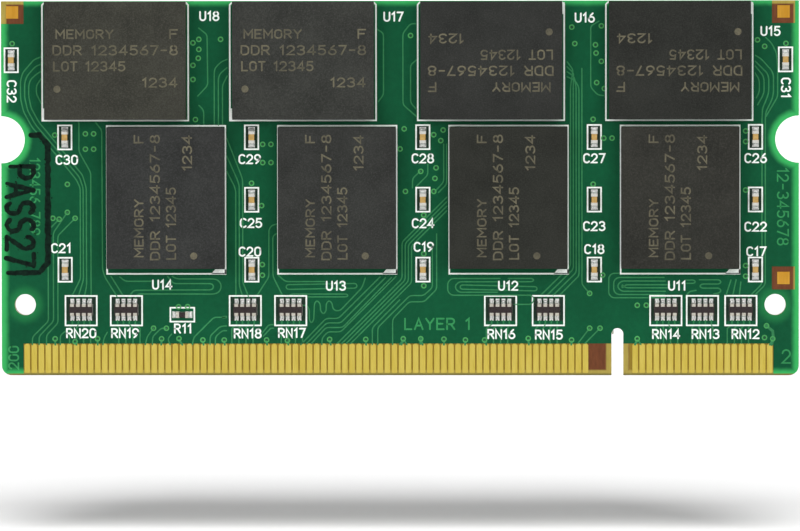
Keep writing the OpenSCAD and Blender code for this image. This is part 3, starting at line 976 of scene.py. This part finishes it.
def beds(face):
    """Strips round the lands of each capacitor, and between and beside the lands of each network"""
    plates = Plates(face)
    half_u, half_v = (side / 2 - SILK_WIDTH / 2 for side in CAPACITOR_OUTLINE)
    spans = [
        (-half_u, -half_v, -LAND_HALF, half_v), (LAND_HALF, -half_v, half_u, half_v),
        (-LAND_HALF, -half_v, LAND_HALF, -LAND_TO), (-LAND_HALF, -LAND_FROM, LAND_HALF, LAND_FROM),
        (-LAND_HALF, LAND_TO, LAND_HALF, half_v),
    ]
    for u, v in LAYOUTS[face.name].capacitors:
        for u0, v0, u1, v1 in spans:
            plates.plate(rectangle((u + u0, v + v0), (u + u1, v + v1)), BED_LOW, BED_HIGH)
    edges = [-NETWORK_OUTLINE[0] / 2 + SILK_WIDTH / 2]
    for i in range(4):
        land = (i - 1.5) * NETWORK_PITCH
        edges += [land - NETWORK_LAND_HALF, land + NETWORK_LAND_HALF]
    edges.append(-edges[0])
    for u, v in LAYOUTS[face.name].networks:
        for low, high in zip(edges[::2], edges[1::2]):
            strip = rectangle((u + low, v + NETWORK_BED_BOTTOM), (u + high, v + NETWORK_BED_TOP))
            plates.plate(strip, BED_LOW, BED_HIGH)
    plates.piece(f"dark_beds_{face.name}", BED, "laminate")


for board_face in FACES:
    silkscreen(board_face)
    beds(board_face)

# ---------------------------------------------------------------- traces and vias under the mask

TRACE_WIDTH = 0.13
TRACE_LOW = MASK_FACE - 0.01
TRACE_HIGH = MASK_FACE + 0.012
VIA_RADIUS = 0.24
VIA_HOLE_RADIUS = 0.13
PAD_VIA_TOP = 3.2        # vias below this height get a short leg to the nearest contact
TRACE_SLOPE = 0.02       # how much narrower a trace is at its top, on each side
ROUTE_ROUNDING = 0.25
CONTACT_PITCH = 0.6
DROP_END = 2.7           # where the drops and the via legs end, over the contacts' upper rims
LEG_END = 2.6


def slot_loop(left, right, radius):
    """A long narrow closed loop between two end points, with round ends"""
    radii = (radius, radius)
    start = ((left[0] + right[0]) / 2, (left[1] + right[1]) / 2 + radius)
    ends = arc(left, radii, 90, 270, 45) + arc(right, radii, -90, 90, 45)
    return [start] + ends + [(start[0] + 0.05, start[1])]


def nested_loop(left, right, top, bottom):
    """A route that comes in along the top, turns back at the left and leaves along the bottom"""
    c = 0.3
    turn = [(left + c, top), (left, top - c), (left, bottom + c), (left + c, bottom)]
    return [(right, top)] + turn + [(right, bottom)]


# The routes' corners in board x and z. The odd face has them mirrored.
ROUTES = {
    "left_arcs": [
        [(-30.2, 27.1), (-31, 26.8), (-31.95, 25.7), (-32.15, 25), (-32.15, 23.5), (-31.9, 22.4),
         (-31.2, 21.1), (-29.2, 18.8), (-27.42, 16.6), (-27.1, 15.9), (-27.1, 8.2), (-27.8, 6.8)],
        [(-30.2, 26.5), (-30.9, 26.2), (-31.6, 25.4), (-31.8, 24.8), (-31.8, 23.6), (-31.55, 22.5),
         (-30.9, 21.3), (-28.95, 19), (-27.15, 16.8), (-26.85, 15.9), (-26.85, 8.1), (-27.26, 6.8)],
        [(-30.2, 25.9), (-30.75, 25.6), (-31.3, 25.1), (-31.45, 24.6), (-31.45, 23.7), (-31.25, 22.7),
         (-30.6, 21.5), (-28.7, 19.2), (-26.9, 17), (-26.58, 15.9), (-26.58, 7.6), (-26.75, 6.8)],
        [(-30.3, 25.3), (-30.8, 24.6), (-30.8, 23.9), (-30.4, 23.1)],
        [(-27.2, 21.5), (-27.2, 19), (-26.2, 17.2), (-26.2, 6.7)],
    ],
    "left_drops": [
        [(-28.9, 13.26), (-29.84, 12.3), (-29.84, 4.6), (-31.2, 3.25), (-31.2, 2.6)],
        [(-28.2, 13.84), (-29.4, 12.1), (-29.4, 4.6), (-30.63, 3.3), (-30.63, 2.6)],
        [(-27.54, 13.34), (-29.02, 11.85), (-29.02, 4.45), (-30, 3.4), (-30, 2.6)],
    ],
    "u14_left": [
        [(-25.8, 21.5), (-25.25, 20.8), (-25.22, 9), (-25, 8.3), (-24, 6.7)],
        [(-24.5, 8.4), (-23.47, 6.75)],
        [(-23.75, 8.35), (-23.3, 7.99), (-20.9, 7.99)],
    ],
    "u14_meander": [
        [(-19.3, 8.4), (-18.9, 8.19)] + arc((-15.785, 7.545), (0.645, 0.645), 90, -90, 30)
        + [(-22.2, 6.91), (-22.4, 6.65)],
        [(-19.7, 8.4), (-19.2, 7.79)] + arc((-16.06, 7.525), (0.265, 0.265), 90, -90, 45)
        + [(-22.55, 7.23), (-22.87, 6.85), (-22.87, 6.6)],
    ],
    "r11": [
        [(-20.9, 4), (-21.45, 3.27), (-21.6, 2.6)], [(-19.81, 4), (-20.25, 4), (-20.99, 3.27),
         (-20.99, 2.6)],
        [(-19.37, 3.5), (-19.7, 3.1), (-19.5, 2.6)], [(-24.83, 3.65), (-25.1, 3.2), (-25.2, 2.6)],
        [(-28.2, 3.9), (-28.83, 3.4), (-28.83, 2.6)],
        [(-14.7, 4.2), (-15.25, 4.15), (-16.1, 3.33), (-16.1, 2.6)],
        [(-14.7, 3.79), (-15.05, 3.79), (-15.65, 3.27), (-15.65, 2.6)],
        [(-17.6, 2.6), (-17.5, 3.2), (-15.76, 4.93), (-14.8, 4.93)],
        [(-11.7, 3.55), (-11.1, 4.3), (-10.7, 4.3)], [(-11.6, 3.3), (-10.95, 4), (-10.7, 4)],
    ],
    "u14_u13": [
        [(-14.65, 20.1), (-13.48, 17.1), (-13.31, 16.6), (-13.31, 7.9), (-12.83, 6.7)],
        [(-14.65, 18.6), (-13.76, 16.6), (-13.6, 16.1), (-13.6, 7.6), (-13.33, 6.7)],
        [(-14.65, 17.3), (-13.99, 16), (-13.9, 15.6), (-13.9, 6.7)],
        [(-10.35, 12.85), (-10.8, 12.75), (-11.08, 12.4), (-11.1, 8.35), (-12.12, 6.75)],
        [(-10.35, 12.05), (-10.6, 11.95), (-10.75, 11.7), (-10.75, 8.4), (-9.9, 6.7)],
    ],
    "u13": [
        [(-10.3, 8.5), (-9.7, 7.96), (-6.36, 7.96)],
        slot_loop((-9.44, 7.5), (-3.82, 7.6), 0.2),
        [(-9.48, 6.66), (-9.2, 6.9), (-4.6, 6.9)] + arc((-4.6, 6.78), (0.2, 0.12),
         90, -90, 45)[1:] + [(-7.9, 6.66)],
        [(-8.17, 5.95), (-7.85, 5.9), (-7.67, 5.6), (-7.67, 4.7), (-7.5, 4.42), (-7.29, 4.7),
         (-7.24, 6.1), (-7.02, 6.36), (-6.75, 6.1), (-6.71, 5.45), (-6.47, 5.19), (-6.25, 5.45),
         (-6.23, 6.1), (-5.98, 6.36), (-5.76, 6.15), (-5.65, 5.65), (-5.43, 5.48), (-5.05, 5.5),
         (-3.2, 7.43), (-2.92, 8.25)],
    ],
    "diagonals": [
        [(-8.4, 2.6), (-6.25, 4.83), (-5.2, 4.83), (-1.66, 8.35)],
        [(-7.9, 2.7), (-6.2, 4.45), (-5, 4.45), (-1.2, 8.3)],
        [(-7.5, 2.7), (-6.25, 4.06), (-4.85, 4.06), (-0.7, 8.3)],
        [(-6.6, 2.6), (-6.6, 3.15), (-6.1, 3.69), (-5, 3.69), (-0.3, 8.4)],
        [(-2.32, 2.6), (-2.32, 4.04), (0, 6.4)],
        [(-1.86, 2.6), (-1.86, 4.05), (0.86, 6.77), (2.02, 6.77), (2.77, 7.43), (2.77, 11)],
        [(-0.6, 2.6), (-0.6, 4.77), (0.8, 6.24), (2.07, 6.24), (3.14, 7.31), (3.14, 12)],
    ] + [
        [(-5.3 + 0.38 * k, 2.7), (0.2 + 0.27 * k, 8.2 - 0.11 * k), (0.2 + 0.27 * k, 11.3 - 0.11 * k),
         (4, 15.1 - 0.38 * k)] for k in range(4)
    ],
    "u12": [
        [(8.5, 8.22), (4.4, 8.22), (4.08, 7.9), (4.08, 7.1), (4.4, 6.8), (11.2, 6.8), (11.4, 6.5),
         (11.2, 6.02), (9.7, 6.02)],
        nested_loop(4.74, 8.3, 7.94, 7.05),
        slot_loop((5.3, 7.49), (11.47, 7.34), 0.18),
        [(9.2, 8.22), (11.2, 8.22), (11.4, 8.08), (11.2, 7.94), (9.9, 7.94)],
    ],
    "u12_right": [
        [(14.2, 25.3 + 0.42 * k), (14.85 - 0.05 * k, 25 + 0.3 * k), (15.2 - 0.24 * k, 24.4),
         (15.2 - 0.24 * k, 8.45 + 0.28 * k), (13.55 - 0.53 * k, 6.8)] for k in range(4)
    ] + [
        [(15.45, 26), (15.45, 7.7), (16.1, 6.95)],
        [(3.75, 19.6), (3.75, 16.4), (3, 15.6)],
        [(4, 19.6), (4, 16.2), (3.3, 15.5)],
        [(2.4, 17.9), (2.4, 17), (1.4, 16)],
        [(1.1, 15.9), (1.1, 16.7), (1.75, 17.3)],
    ],
    "u11": [
        nested_loop(17.72, 22.5, 8.66, 6.58), nested_loop(18.14, 22.4, 8.3, 6.85),
        nested_loop(18.5, 22.5, 8, 7.13), nested_loop(18.84, 22.9, 7.68, 7.42),
        [(25.4, 8.1), (27.05, 8.1), (27.25, 7.92), (27.05, 7.74), (25.6, 7.74), (25.4, 7.56),
         (25.6, 7.39), (27.05, 7.39), (27.25, 7.18), (27.05, 6.98), (26.6, 6.9)],
        [(24.3, 8.08), (24.9, 8.08), (25.08, 7.94), (24.9, 7.8), (24.3, 7.8)],
        [(25.1, 7.2), (24.5, 7.1), (24.2, 6.6)],
        [(28.06, 8.08), (27.65, 6.8)], [(28.5, 8.1), (28.2, 6.7)], [(28.9, 7.9), (28.75, 6.65)],
    ],
    "u15_arcs": [
        [(30.1, 27.1), (30.6, 26.8), (31.5, 25.8), (31.65, 25.4), (31.65, 23.9), (31.5, 23.3),
         (31, 22.3), (30.96, 21.8), (30.96, 7.68), (29.97, 6.7)],
        [(30.1, 26.6), (31.1, 25.6), (31.25, 25.2), (31.25, 24), (31.1, 23.5), (30.72, 22.6),
         (30.68, 21.8), (30.68, 7.74), (29.57, 6.63)],
        [(30.1, 26.2), (30.75, 25.4), (30.85, 25), (30.85, 24), (30.7, 23.6), (30.3, 22.9)],
        [(30.1, 25.6), (30.45, 25), (30.45, 24), (30.2, 23.5)],
        [(31, 28.6), (31.5, 28.1), (31.9, 27.3), (32, 26), (32, 23.6), (31, 21.9)],
    ],
    "upper_gaps": [
        [(-17, 29.45), (-16.3, 28.9), (-16.25, 24.6), (-17.1, 23.7)],
        [(-14.6, 26.8), (-15.1, 26.6), (-15.6, 26.1), (-15.7, 25.7), (-15.7, 21.2)],
        [(-14.6, 26.1), (-15.2, 25.6), (-15.35, 25.2), (-15.35, 21.2)],
        [(-14.6, 25.4), (-15, 24.6), (-15, 21.2)],
        [(-17, 22.9), (-16.6, 22.5), (-16.6, 21.3)],
        [(-1.9, 29.35), (-1.35, 29), (-1.35, 23.8), (-1.8, 23.2)],
        [(1.4, 29.8), (0.95, 29.8), (0.3, 29), (0.3, 22.95), (1.5, 21.9)],
        [(1.5, 26.8), (0.95, 26.3), (0.95, 23.1), (1.4, 22.6)],
        [(16.9, 30), (16.2, 29.6), (16.2, 24.4), (16.8, 23.75), (17.3, 23.7)],
    ],
    "right_drops": [
        [(15.1, 2.7), (16.1, 4)], [(15.7, 2.7), (16.98, 4)], [(0, 2.6), (0.3, 3.1), (0.62, 2.6)],
        [(19.9, 2.6), (20.13, 3.1), (20.45, 2.6)],
    ],
}
WIDE_ROUTES = [
    [(31.07, 4.2), (31.6, 3.75), (31.65, 3.1), (31.5, 2.6)],
    [(-14.98, 4.93), (-14.75, 4.95)],
    [(1.78, 3.1), (1.78, 2.7)],
]
WIDE_WIDTH = 0.25
ODD_SKIPS = ("left_arcs", "diagonals", "left_drops", "u13")

# Via centres in board x and z, mirrored on the odd face
VIAS = [
    (-26.65, 20.5), (-25.95, 20.5), (-26.65, 19.2), (-25.95, 19.2), (-29.25, 20.4), (-28.19, 16.22),
    (-32.85, 28.15), (-17, 28.5), (-17.5, 28.2), (-17, 27.65), (-17.05, 26.9), (-17.5, 26.3),
    (-17.5, 25.1), (-17.3, 21.7), (-15.15, 28.5), (-11.6, 19.6), (-10.9, 19.6), (-11.6, 18.05),
    (-10.9, 18.05), (-12.55, 16.3), (-11.7, 14.4), (-11.65, 9.4), (-11.65, 8.5), (0.05, 19.2),
    (0.4, 20.9), (0.95, 28.8), (2.9, 20.4), (3.5, 19.9), (3.7, 20.8), (3.1, 17.6), (3, 16.7),
    (1.8, 17.3), (2.9, 15.6), (0.5, 15.6), (2.05, 13.6), (2.05, 10.3), (2.05, 7.6), (14.6, 29.5),
    (14.85, 28.1), (16.6, 28), (16.65, 27.3), (17.1, 26.6), (16.7, 24.8), (17.35, 24.3), (17.1, 29.6),
    (16.4, 21.7), (17.3, 20.1), (18, 20.1), (16.4, 16.2), (17.2, 8.5), (30.9, 27.85), (30.3, 28.4),
    (29.3, 20.7), (29.3, 19.8), (29.3, 15.7), (29.3, 9.3), (29.3, 8.4), (32.7, 28.1), (20.13, 5.94),
    (20.9, 5.94), (-29.43, 13.34), (-28.9, 13.26), (-28.2, 13.84), (-27.54, 13.34), (-18.77, 5.82),
    (-18, 5.83), (-20.9, 4), (-19.81, 4), (-20.22, 3.1), (-18.74, 3.12), (-29.27, 3.1), (-27.57, 2.85),
    (-25.66, 3.1), (-16.71, 3), (-14.9, 3), (-11.3, 3), (-9.53, 2.95), (-5.95, 3.05), (-2.88, 3.05),
    (0.3, 3.1), (1.78, 3.1), (3.75, 3.07), (5.57, 3), (7.2, 3), (10.9, 3.13), (14.57, 3), (16.1, 4),
    (16.98, 4), (16.1, 6.95), (20.13, 3.1), (30.9, 3.2), (31.6, 3.1), (31.07, 4.2),
]


def blocked(face, points, margin=0.3):
    """True if a route or via on the odd face would run under its configuration chip or extra networks"""
    if face is EVEN:
        return False
    low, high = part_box("eeprom_leads")
    zones = [(low.x / MM, low.z / MM, high.x / MM, high.z / MM), (-4.0, 3.0, 3.3, 7.2)]
    return any(x0 - margin < x < x1 + margin and z0 - margin < z < z1 + margin
               for x, z in points for x0, z0, x1, z1 in zones)


def face_path(face, points):
    return [(x * face.direction, z) for x, z in points]


def traces(face):
    plates = Plates(face)
    for name, routes in ROUTES.items():
        if face is ODD and name in ODD_SKIPS:
            continue
        for route in routes:
            if not blocked(face, route):
                path = softened(face_path(face, route), ROUTE_ROUNDING)
                plates.stroke(path, TRACE_WIDTH, TRACE_LOW, TRACE_HIGH, TRACE_SLOPE)
    for route in WIDE_ROUTES:
        plates.stroke(face_path(face, route), WIDE_WIDTH, TRACE_LOW, TRACE_HIGH, TRACE_SLOPE)
    network_drops(plates, face)
    plates.piece(f"traces_{face.name}", TRACE, "solder_mask")


def network_drops(plates, face):
    """Short routes from each network's lower terminals, and from the lowest vias, to the contacts"""
    contacts = [middle(face.flat_box(*box))[0] for box in islands(face.node("gold_contacts"))]
    for u, v in LAYOUTS[face.name].networks:
        for i in range(4):
            start = u + (i - 1.5) * NETWORK_PITCH
            end = min(contacts, key=lambda c: abs(c - (u + (i - 1.5) * CONTACT_PITCH)))
            drop = [(start, v - 0.9), (start, v - 1.25), (end, v - 1.6), (end, DROP_END)]
            plates.stroke(drop, TRACE_WIDTH, TRACE_LOW, TRACE_HIGH, TRACE_SLOPE)
    for x, z in VIAS:
        if z < PAD_VIA_TOP:
            u = x * face.direction
            end = min(contacts, key=lambda c: abs(c - u))
            leg = [(u, z - VIA_RADIUS / 2), (end, LEG_END)]
            plates.stroke(leg, TRACE_WIDTH * 1.5, TRACE_LOW, TRACE_HIGH, TRACE_SLOPE)


def vias(face):
    rings = Plates(face)
    holes = Plates(face)
    for x, z in VIAS:
        if blocked(face, [(x, z)]):
            continue
        centre = (x * face.direction, z)
        outer = circle(centre, VIA_RADIUS, 16)
        inner = circle(centre, VIA_HOLE_RADIUS, 16)
        rings.ring(outer, inner, TRACE_LOW, TRACE_HIGH + 0.004)
        holes.plate(inner, TRACE_LOW, MASK_FACE + 0.002)
    rings.piece(f"via_rings_{face.name}", VIA, "solder_mask")
    holes.piece(f"via_centres_{face.name}", VIA_HOLE, "solder_mask")


for board_face in FACES:
    traces(board_face)
    vias(board_face)

# ---------------------------------------------------------------- markings

MARK_LOW = CHIP_FACE - 0.004
MARK_HIGH = CHIP_FACE + 0.006
MARK_STROKE = 0.135
# Lines on a package that lies upright: text, middle of the line from the package's middle, height, width
MARK_LINES = [
    ("MEMORY", (-2.55, 2.25), 0.68, 4.8), ("F", (5.0, 2.25), 0.72, 0.6),
    ("DDR 1234567-8", (0.05, 0.88), 0.74, 10.5), ("LOT 12345", (-2.15, -0.47), 0.74, 6.0),
    ("1234", (3.8, -1.85), 0.72, 2.9),
]
MARK_DOT = (-4.9, -2.4)
MARK_DOT_RADIUS = 0.3
MARK_INK = (114, 109, 90)
TURNS = [0, 0, 180, 180, 90, 90, 90, 90]


def laser_marks(face):
    for index, (chip, (low, high)) in enumerate(LAYOUTS[face.name].packages.items()):
        centre = middle((low, high))
        turn = TURNS[index]
        plates = Plates(face)
        for text, offset, height, width in MARK_LINES:
            place = turned([offset], centre, turn)[0]
            squeeze = squeeze_to(width, text, height)
            plates.write(text, place, height, MARK_STROKE, MARK_LOW, MARK_HIGH, turn, squeeze)
        dot = turned([MARK_DOT], centre, turn)[0]
        plates.plate(circle(dot, MARK_DOT_RADIUS, 24), MARK_LOW, MARK_HIGH)
        tint = CHIP_TINTS.get(chip, ODD_TINT)
        material = mark_material(f"laser_{chip}", MARK_INK, tint, offset=2.3 * index)
        plates.piece(f"laser_marks_{chip}", material, "laser_mark")


for board_face in FACES:
    laser_marks(board_face)


def etched_text():
    """Generic numbers and a generic word left in the copper under the mask of the even face"""
    plates = Plates(EVEN)
    low, high = TRACE_LOW, TRACE_HIGH
    plates.write("200", (-32.8, 1.5), 0.8, 0.14, low, high, 90)
    plates.write("2", (32.74, 1.6), 1.1, 0.14, low, high)
    plates.write("12-345678", (32.45, 14.3), 0.9, 0.13, low, high, -90)
    plates.write("123456-789", (-30.95, 15.2), 0.8, 0.13, low, high, -90)
    plates.write("LAYER 1", (3.2, 4.36), 0.9, 0.15, low, high, squeeze=squeeze_to(5.5, "LAYER 1", 0.9))
    plates.piece("etched_text_even", ETCHED, "solder_mask")


etched_text()


STAMP_HEIGHT = 2.3
STAMP_CLEARANCE = 0.33   # the ink stays this far from the notch, and STAMP_EDGE from the board's end
STAMP_EDGE = 0.3


def stamp():
    """A hand-inked inspection stamp with ragged strokes and stray specks"""
    rng = random.Random(7)
    plates = Plates(EVEN)
    low, high = INK_LOW, MASK_FACE + 0.02
    notch = (NOTCH["pos_m"][0] / MM, NOTCH["pos_m"][2] / MM)
    notch_reach = NOTCH["dims"]["r_mm"] + STAMP_CLEARANCE

    def off_board(x, y):
        return math.dist((abs(x), y), notch) < notch_reach or abs(x) > HALF_LENGTH - STAMP_EDGE

    def ragged(points, width):
        """A chain of short strokes whose width and course wander"""
        for a, b in zip(points, points[1:]):
            steps = max(1, round(math.dist(a, b) / 0.32))
            for i in range(steps):
                ends = [toward(a, b, math.dist(a, b) * k / steps) for k in (i, i + 1.15)]
                ends = [(x + rng.uniform(-0.035, 0.035), y + rng.uniform(-0.035, 0.035)) for x, y in ends]
                if any(off_board(*end) for end in ends):
                    continue
                plates.stroke(ends, width * rng.uniform(0.72, 1.12), low, high)
                if rng.random() < 0.35:
                    reach = width * rng.uniform(0.55, 0.9)
                    angle = rng.uniform(0, math.tau)
                    speck = (ends[0][0] + reach * math.cos(angle), ends[0][1] + reach * math.sin(angle))
                    size = rng.uniform(0.03, 0.08)
                    plates.plate(circle(speck, size, 6), low, high)

    ragged([(-31.9, 20.4), (-30.6, 20.4), (-29.85, 19.6), (-29.85, 9.6), (-30.6, 8.75), (-33.5, 8.67)], 0.5)
    for text, centre, length in (("PASS", (-32.2, 15.0), 5.5), ("27", (-32.2, 10.55), 2.5)):
        for stroke in text_strokes(text, STAMP_HEIGHT, squeeze_to(length, text, STAMP_HEIGHT))[0]:
            ragged(turned(stroke, centre, -90), 0.4)
    plates.piece("inspection_stamp", INK, "ink")


stamp()

# ---------------------------------------------------------------- stage, light and camera

FLOOR_DROP = 14.1
FLOOR_RADIUS = 2.5
WALL_HEIGHT = 2.2
BEND_RADIUS = 0.8
FLOOR_SIDES = 96


def stage_floor():
    """A round pale floor that curves up into a wall all round"""
    material = Nodes("pale_floor", roughness=0.9, specular=0.1)
    material.colour(material.mix(material.noise(0.02), linear(186, 186, 186), linear(190, 190, 190)))
    flat = FLOOR_RADIUS - BEND_RADIUS
    bend = arc((0.0, 0.0), (BEND_RADIUS, BEND_RADIUS), -80, 0, 10)
    profile = [(0.0, 0.0), (0.5, 0.0), (flat, 0.0)] + [(flat + x, BEND_RADIUS + z) for x, z in bend]
    profile.append((FLOOR_RADIUS, WALL_HEIGHT))
    sides = FLOOR_SIDES
    turns = [math.tau * k / sides for k in range(sides)]
    points, polygons = [], []
    for r, z in profile:
        points += [(r * math.cos(turn), r * math.sin(turn), z - FLOOR_DROP * MM) for turn in turns]
    for ring in range(len(profile) - 1):
        for k in range(sides):
            j = (k + 1) % sides
            a, b = ring * sides, (ring + 1) * sides
            polygons.append([a + k, b + k, b + j, a + j])
    mesh = bpy.data.meshes.new("floor")
    mesh.from_pydata(points, [], polygons)
    mesh.validate()
    mesh.shade_smooth()
    obj = bpy.data.objects.new("floor", mesh)
    bpy.context.scene.collection.objects.link(obj)
    obj.data.materials.append(material.material)
    obj.visible_shadow = False
    obj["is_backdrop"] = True
    return obj


WORLD_STRENGTH = 0.2
SOFTBOXES = [
    ("front_left", -48, 22, 0.6, 3.8), ("front_right", 48, 22, 0.6, 3.8), ("front_high", 0, 62, 0.5, 1.5),
    ("back_left", -140, 25, 0.6, 5.0), ("back_right", 140, 25, 0.6, 5.0), ("overhead", 180, 80, 0.6, 2.0),
]
SUNS = [("floor_key", 3, 35, 7.4), ("floor_back", 180, 20, 1.7)]
SUN_ANGLE = 25
SOFTBOX_DISTANCE = 1.1
MODULE_MIDDLE = Vector((0, 0, BOARD_TOP / 2 * MM))
CAMERA_TARGET = (0.018, 0.0, 9.301)
CAMERA_AZIMUTH = 1.536
CAMERA_ELEVATION = 2.0
CAMERA_ROLL = -0.075
CAMERA_DISTANCE = 0.6
CAMERA_LENS = 318.25


def direction_to(azimuth, elevation):
    """The direction from the module to a place round it. Azimuth 0 is in front of the even face."""
    a, e = math.radians(azimuth), math.radians(elevation)
    return Vector((math.sin(a) * math.cos(e), -math.cos(a) * math.cos(e), math.sin(e)))


def facing_light(name, kind, azimuth, elevation, distance, power, receivers):
    """A light that faces the middle of the module and lights one group only"""
    away = direction_to(azimuth, elevation)
    data = bpy.data.lights.new(name, kind)
    data.energy = power
    obj = bpy.data.objects.new(name, data)
    obj.location = MODULE_MIDDLE + away * distance
    obj.rotation_euler = away.to_track_quat("Z", "Y").to_euler()
    bpy.context.scene.collection.objects.link(obj)
    obj.light_linking.receiver_collection = receivers
    return data


def group_of(name, objects):
    group = bpy.data.collections.new(name)
    for obj in objects:
        group.objects.link(obj)
    return group


def studio(floor):
    """Soft lights for the module alone, and wide suns for the floor alone, which draw its shadow"""
    world = bpy.data.worlds.new("studio")
    bpy.context.scene.world = world
    world.use_nodes = True
    world.node_tree.nodes["Background"].inputs["Color"].default_value = (1, 1, 1, 1)
    world.node_tree.nodes["Background"].inputs["Strength"].default_value = WORLD_STRENGTH
    module = group_of("module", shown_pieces())
    ground = group_of("ground", [floor])
    for name, azimuth, elevation, size, power in SOFTBOXES:
        facing_light(name, "AREA", azimuth, elevation, SOFTBOX_DISTANCE, power, module).size = size
    for name, azimuth, elevation, power in SUNS:
        sun = facing_light(name, "SUN", azimuth, elevation, 1.0, power, ground)
        sun.angle = math.radians(SUN_ANGLE)


def camera():
    """Nearly level with the module, a little to its right and above it, with a long lens"""
    target = Vector(CAMERA_TARGET) * MM
    away = direction_to(CAMERA_AZIMUTH, CAMERA_ELEVATION)
    data = bpy.data.cameras.new("camera")
    data.sensor_width = 36.0
    data.lens = CAMERA_LENS
    data.clip_start = 0.01
    data.clip_end = 20.0
    obj = bpy.data.objects.new("camera", data)
    obj.location = target + away * CAMERA_DISTANCE
    turn = (-away).to_track_quat("-Z", "Y").to_matrix().to_4x4()
    obj.rotation_euler = (turn @ Matrix.Rotation(math.radians(CAMERA_ROLL), 4, "Z")).to_euler()
    bpy.context.scene.collection.objects.link(obj)
    bpy.context.scene.camera = obj


studio(stage_floor())
camera()
bpy.context.scene.view_settings.view_transform = "Standard"
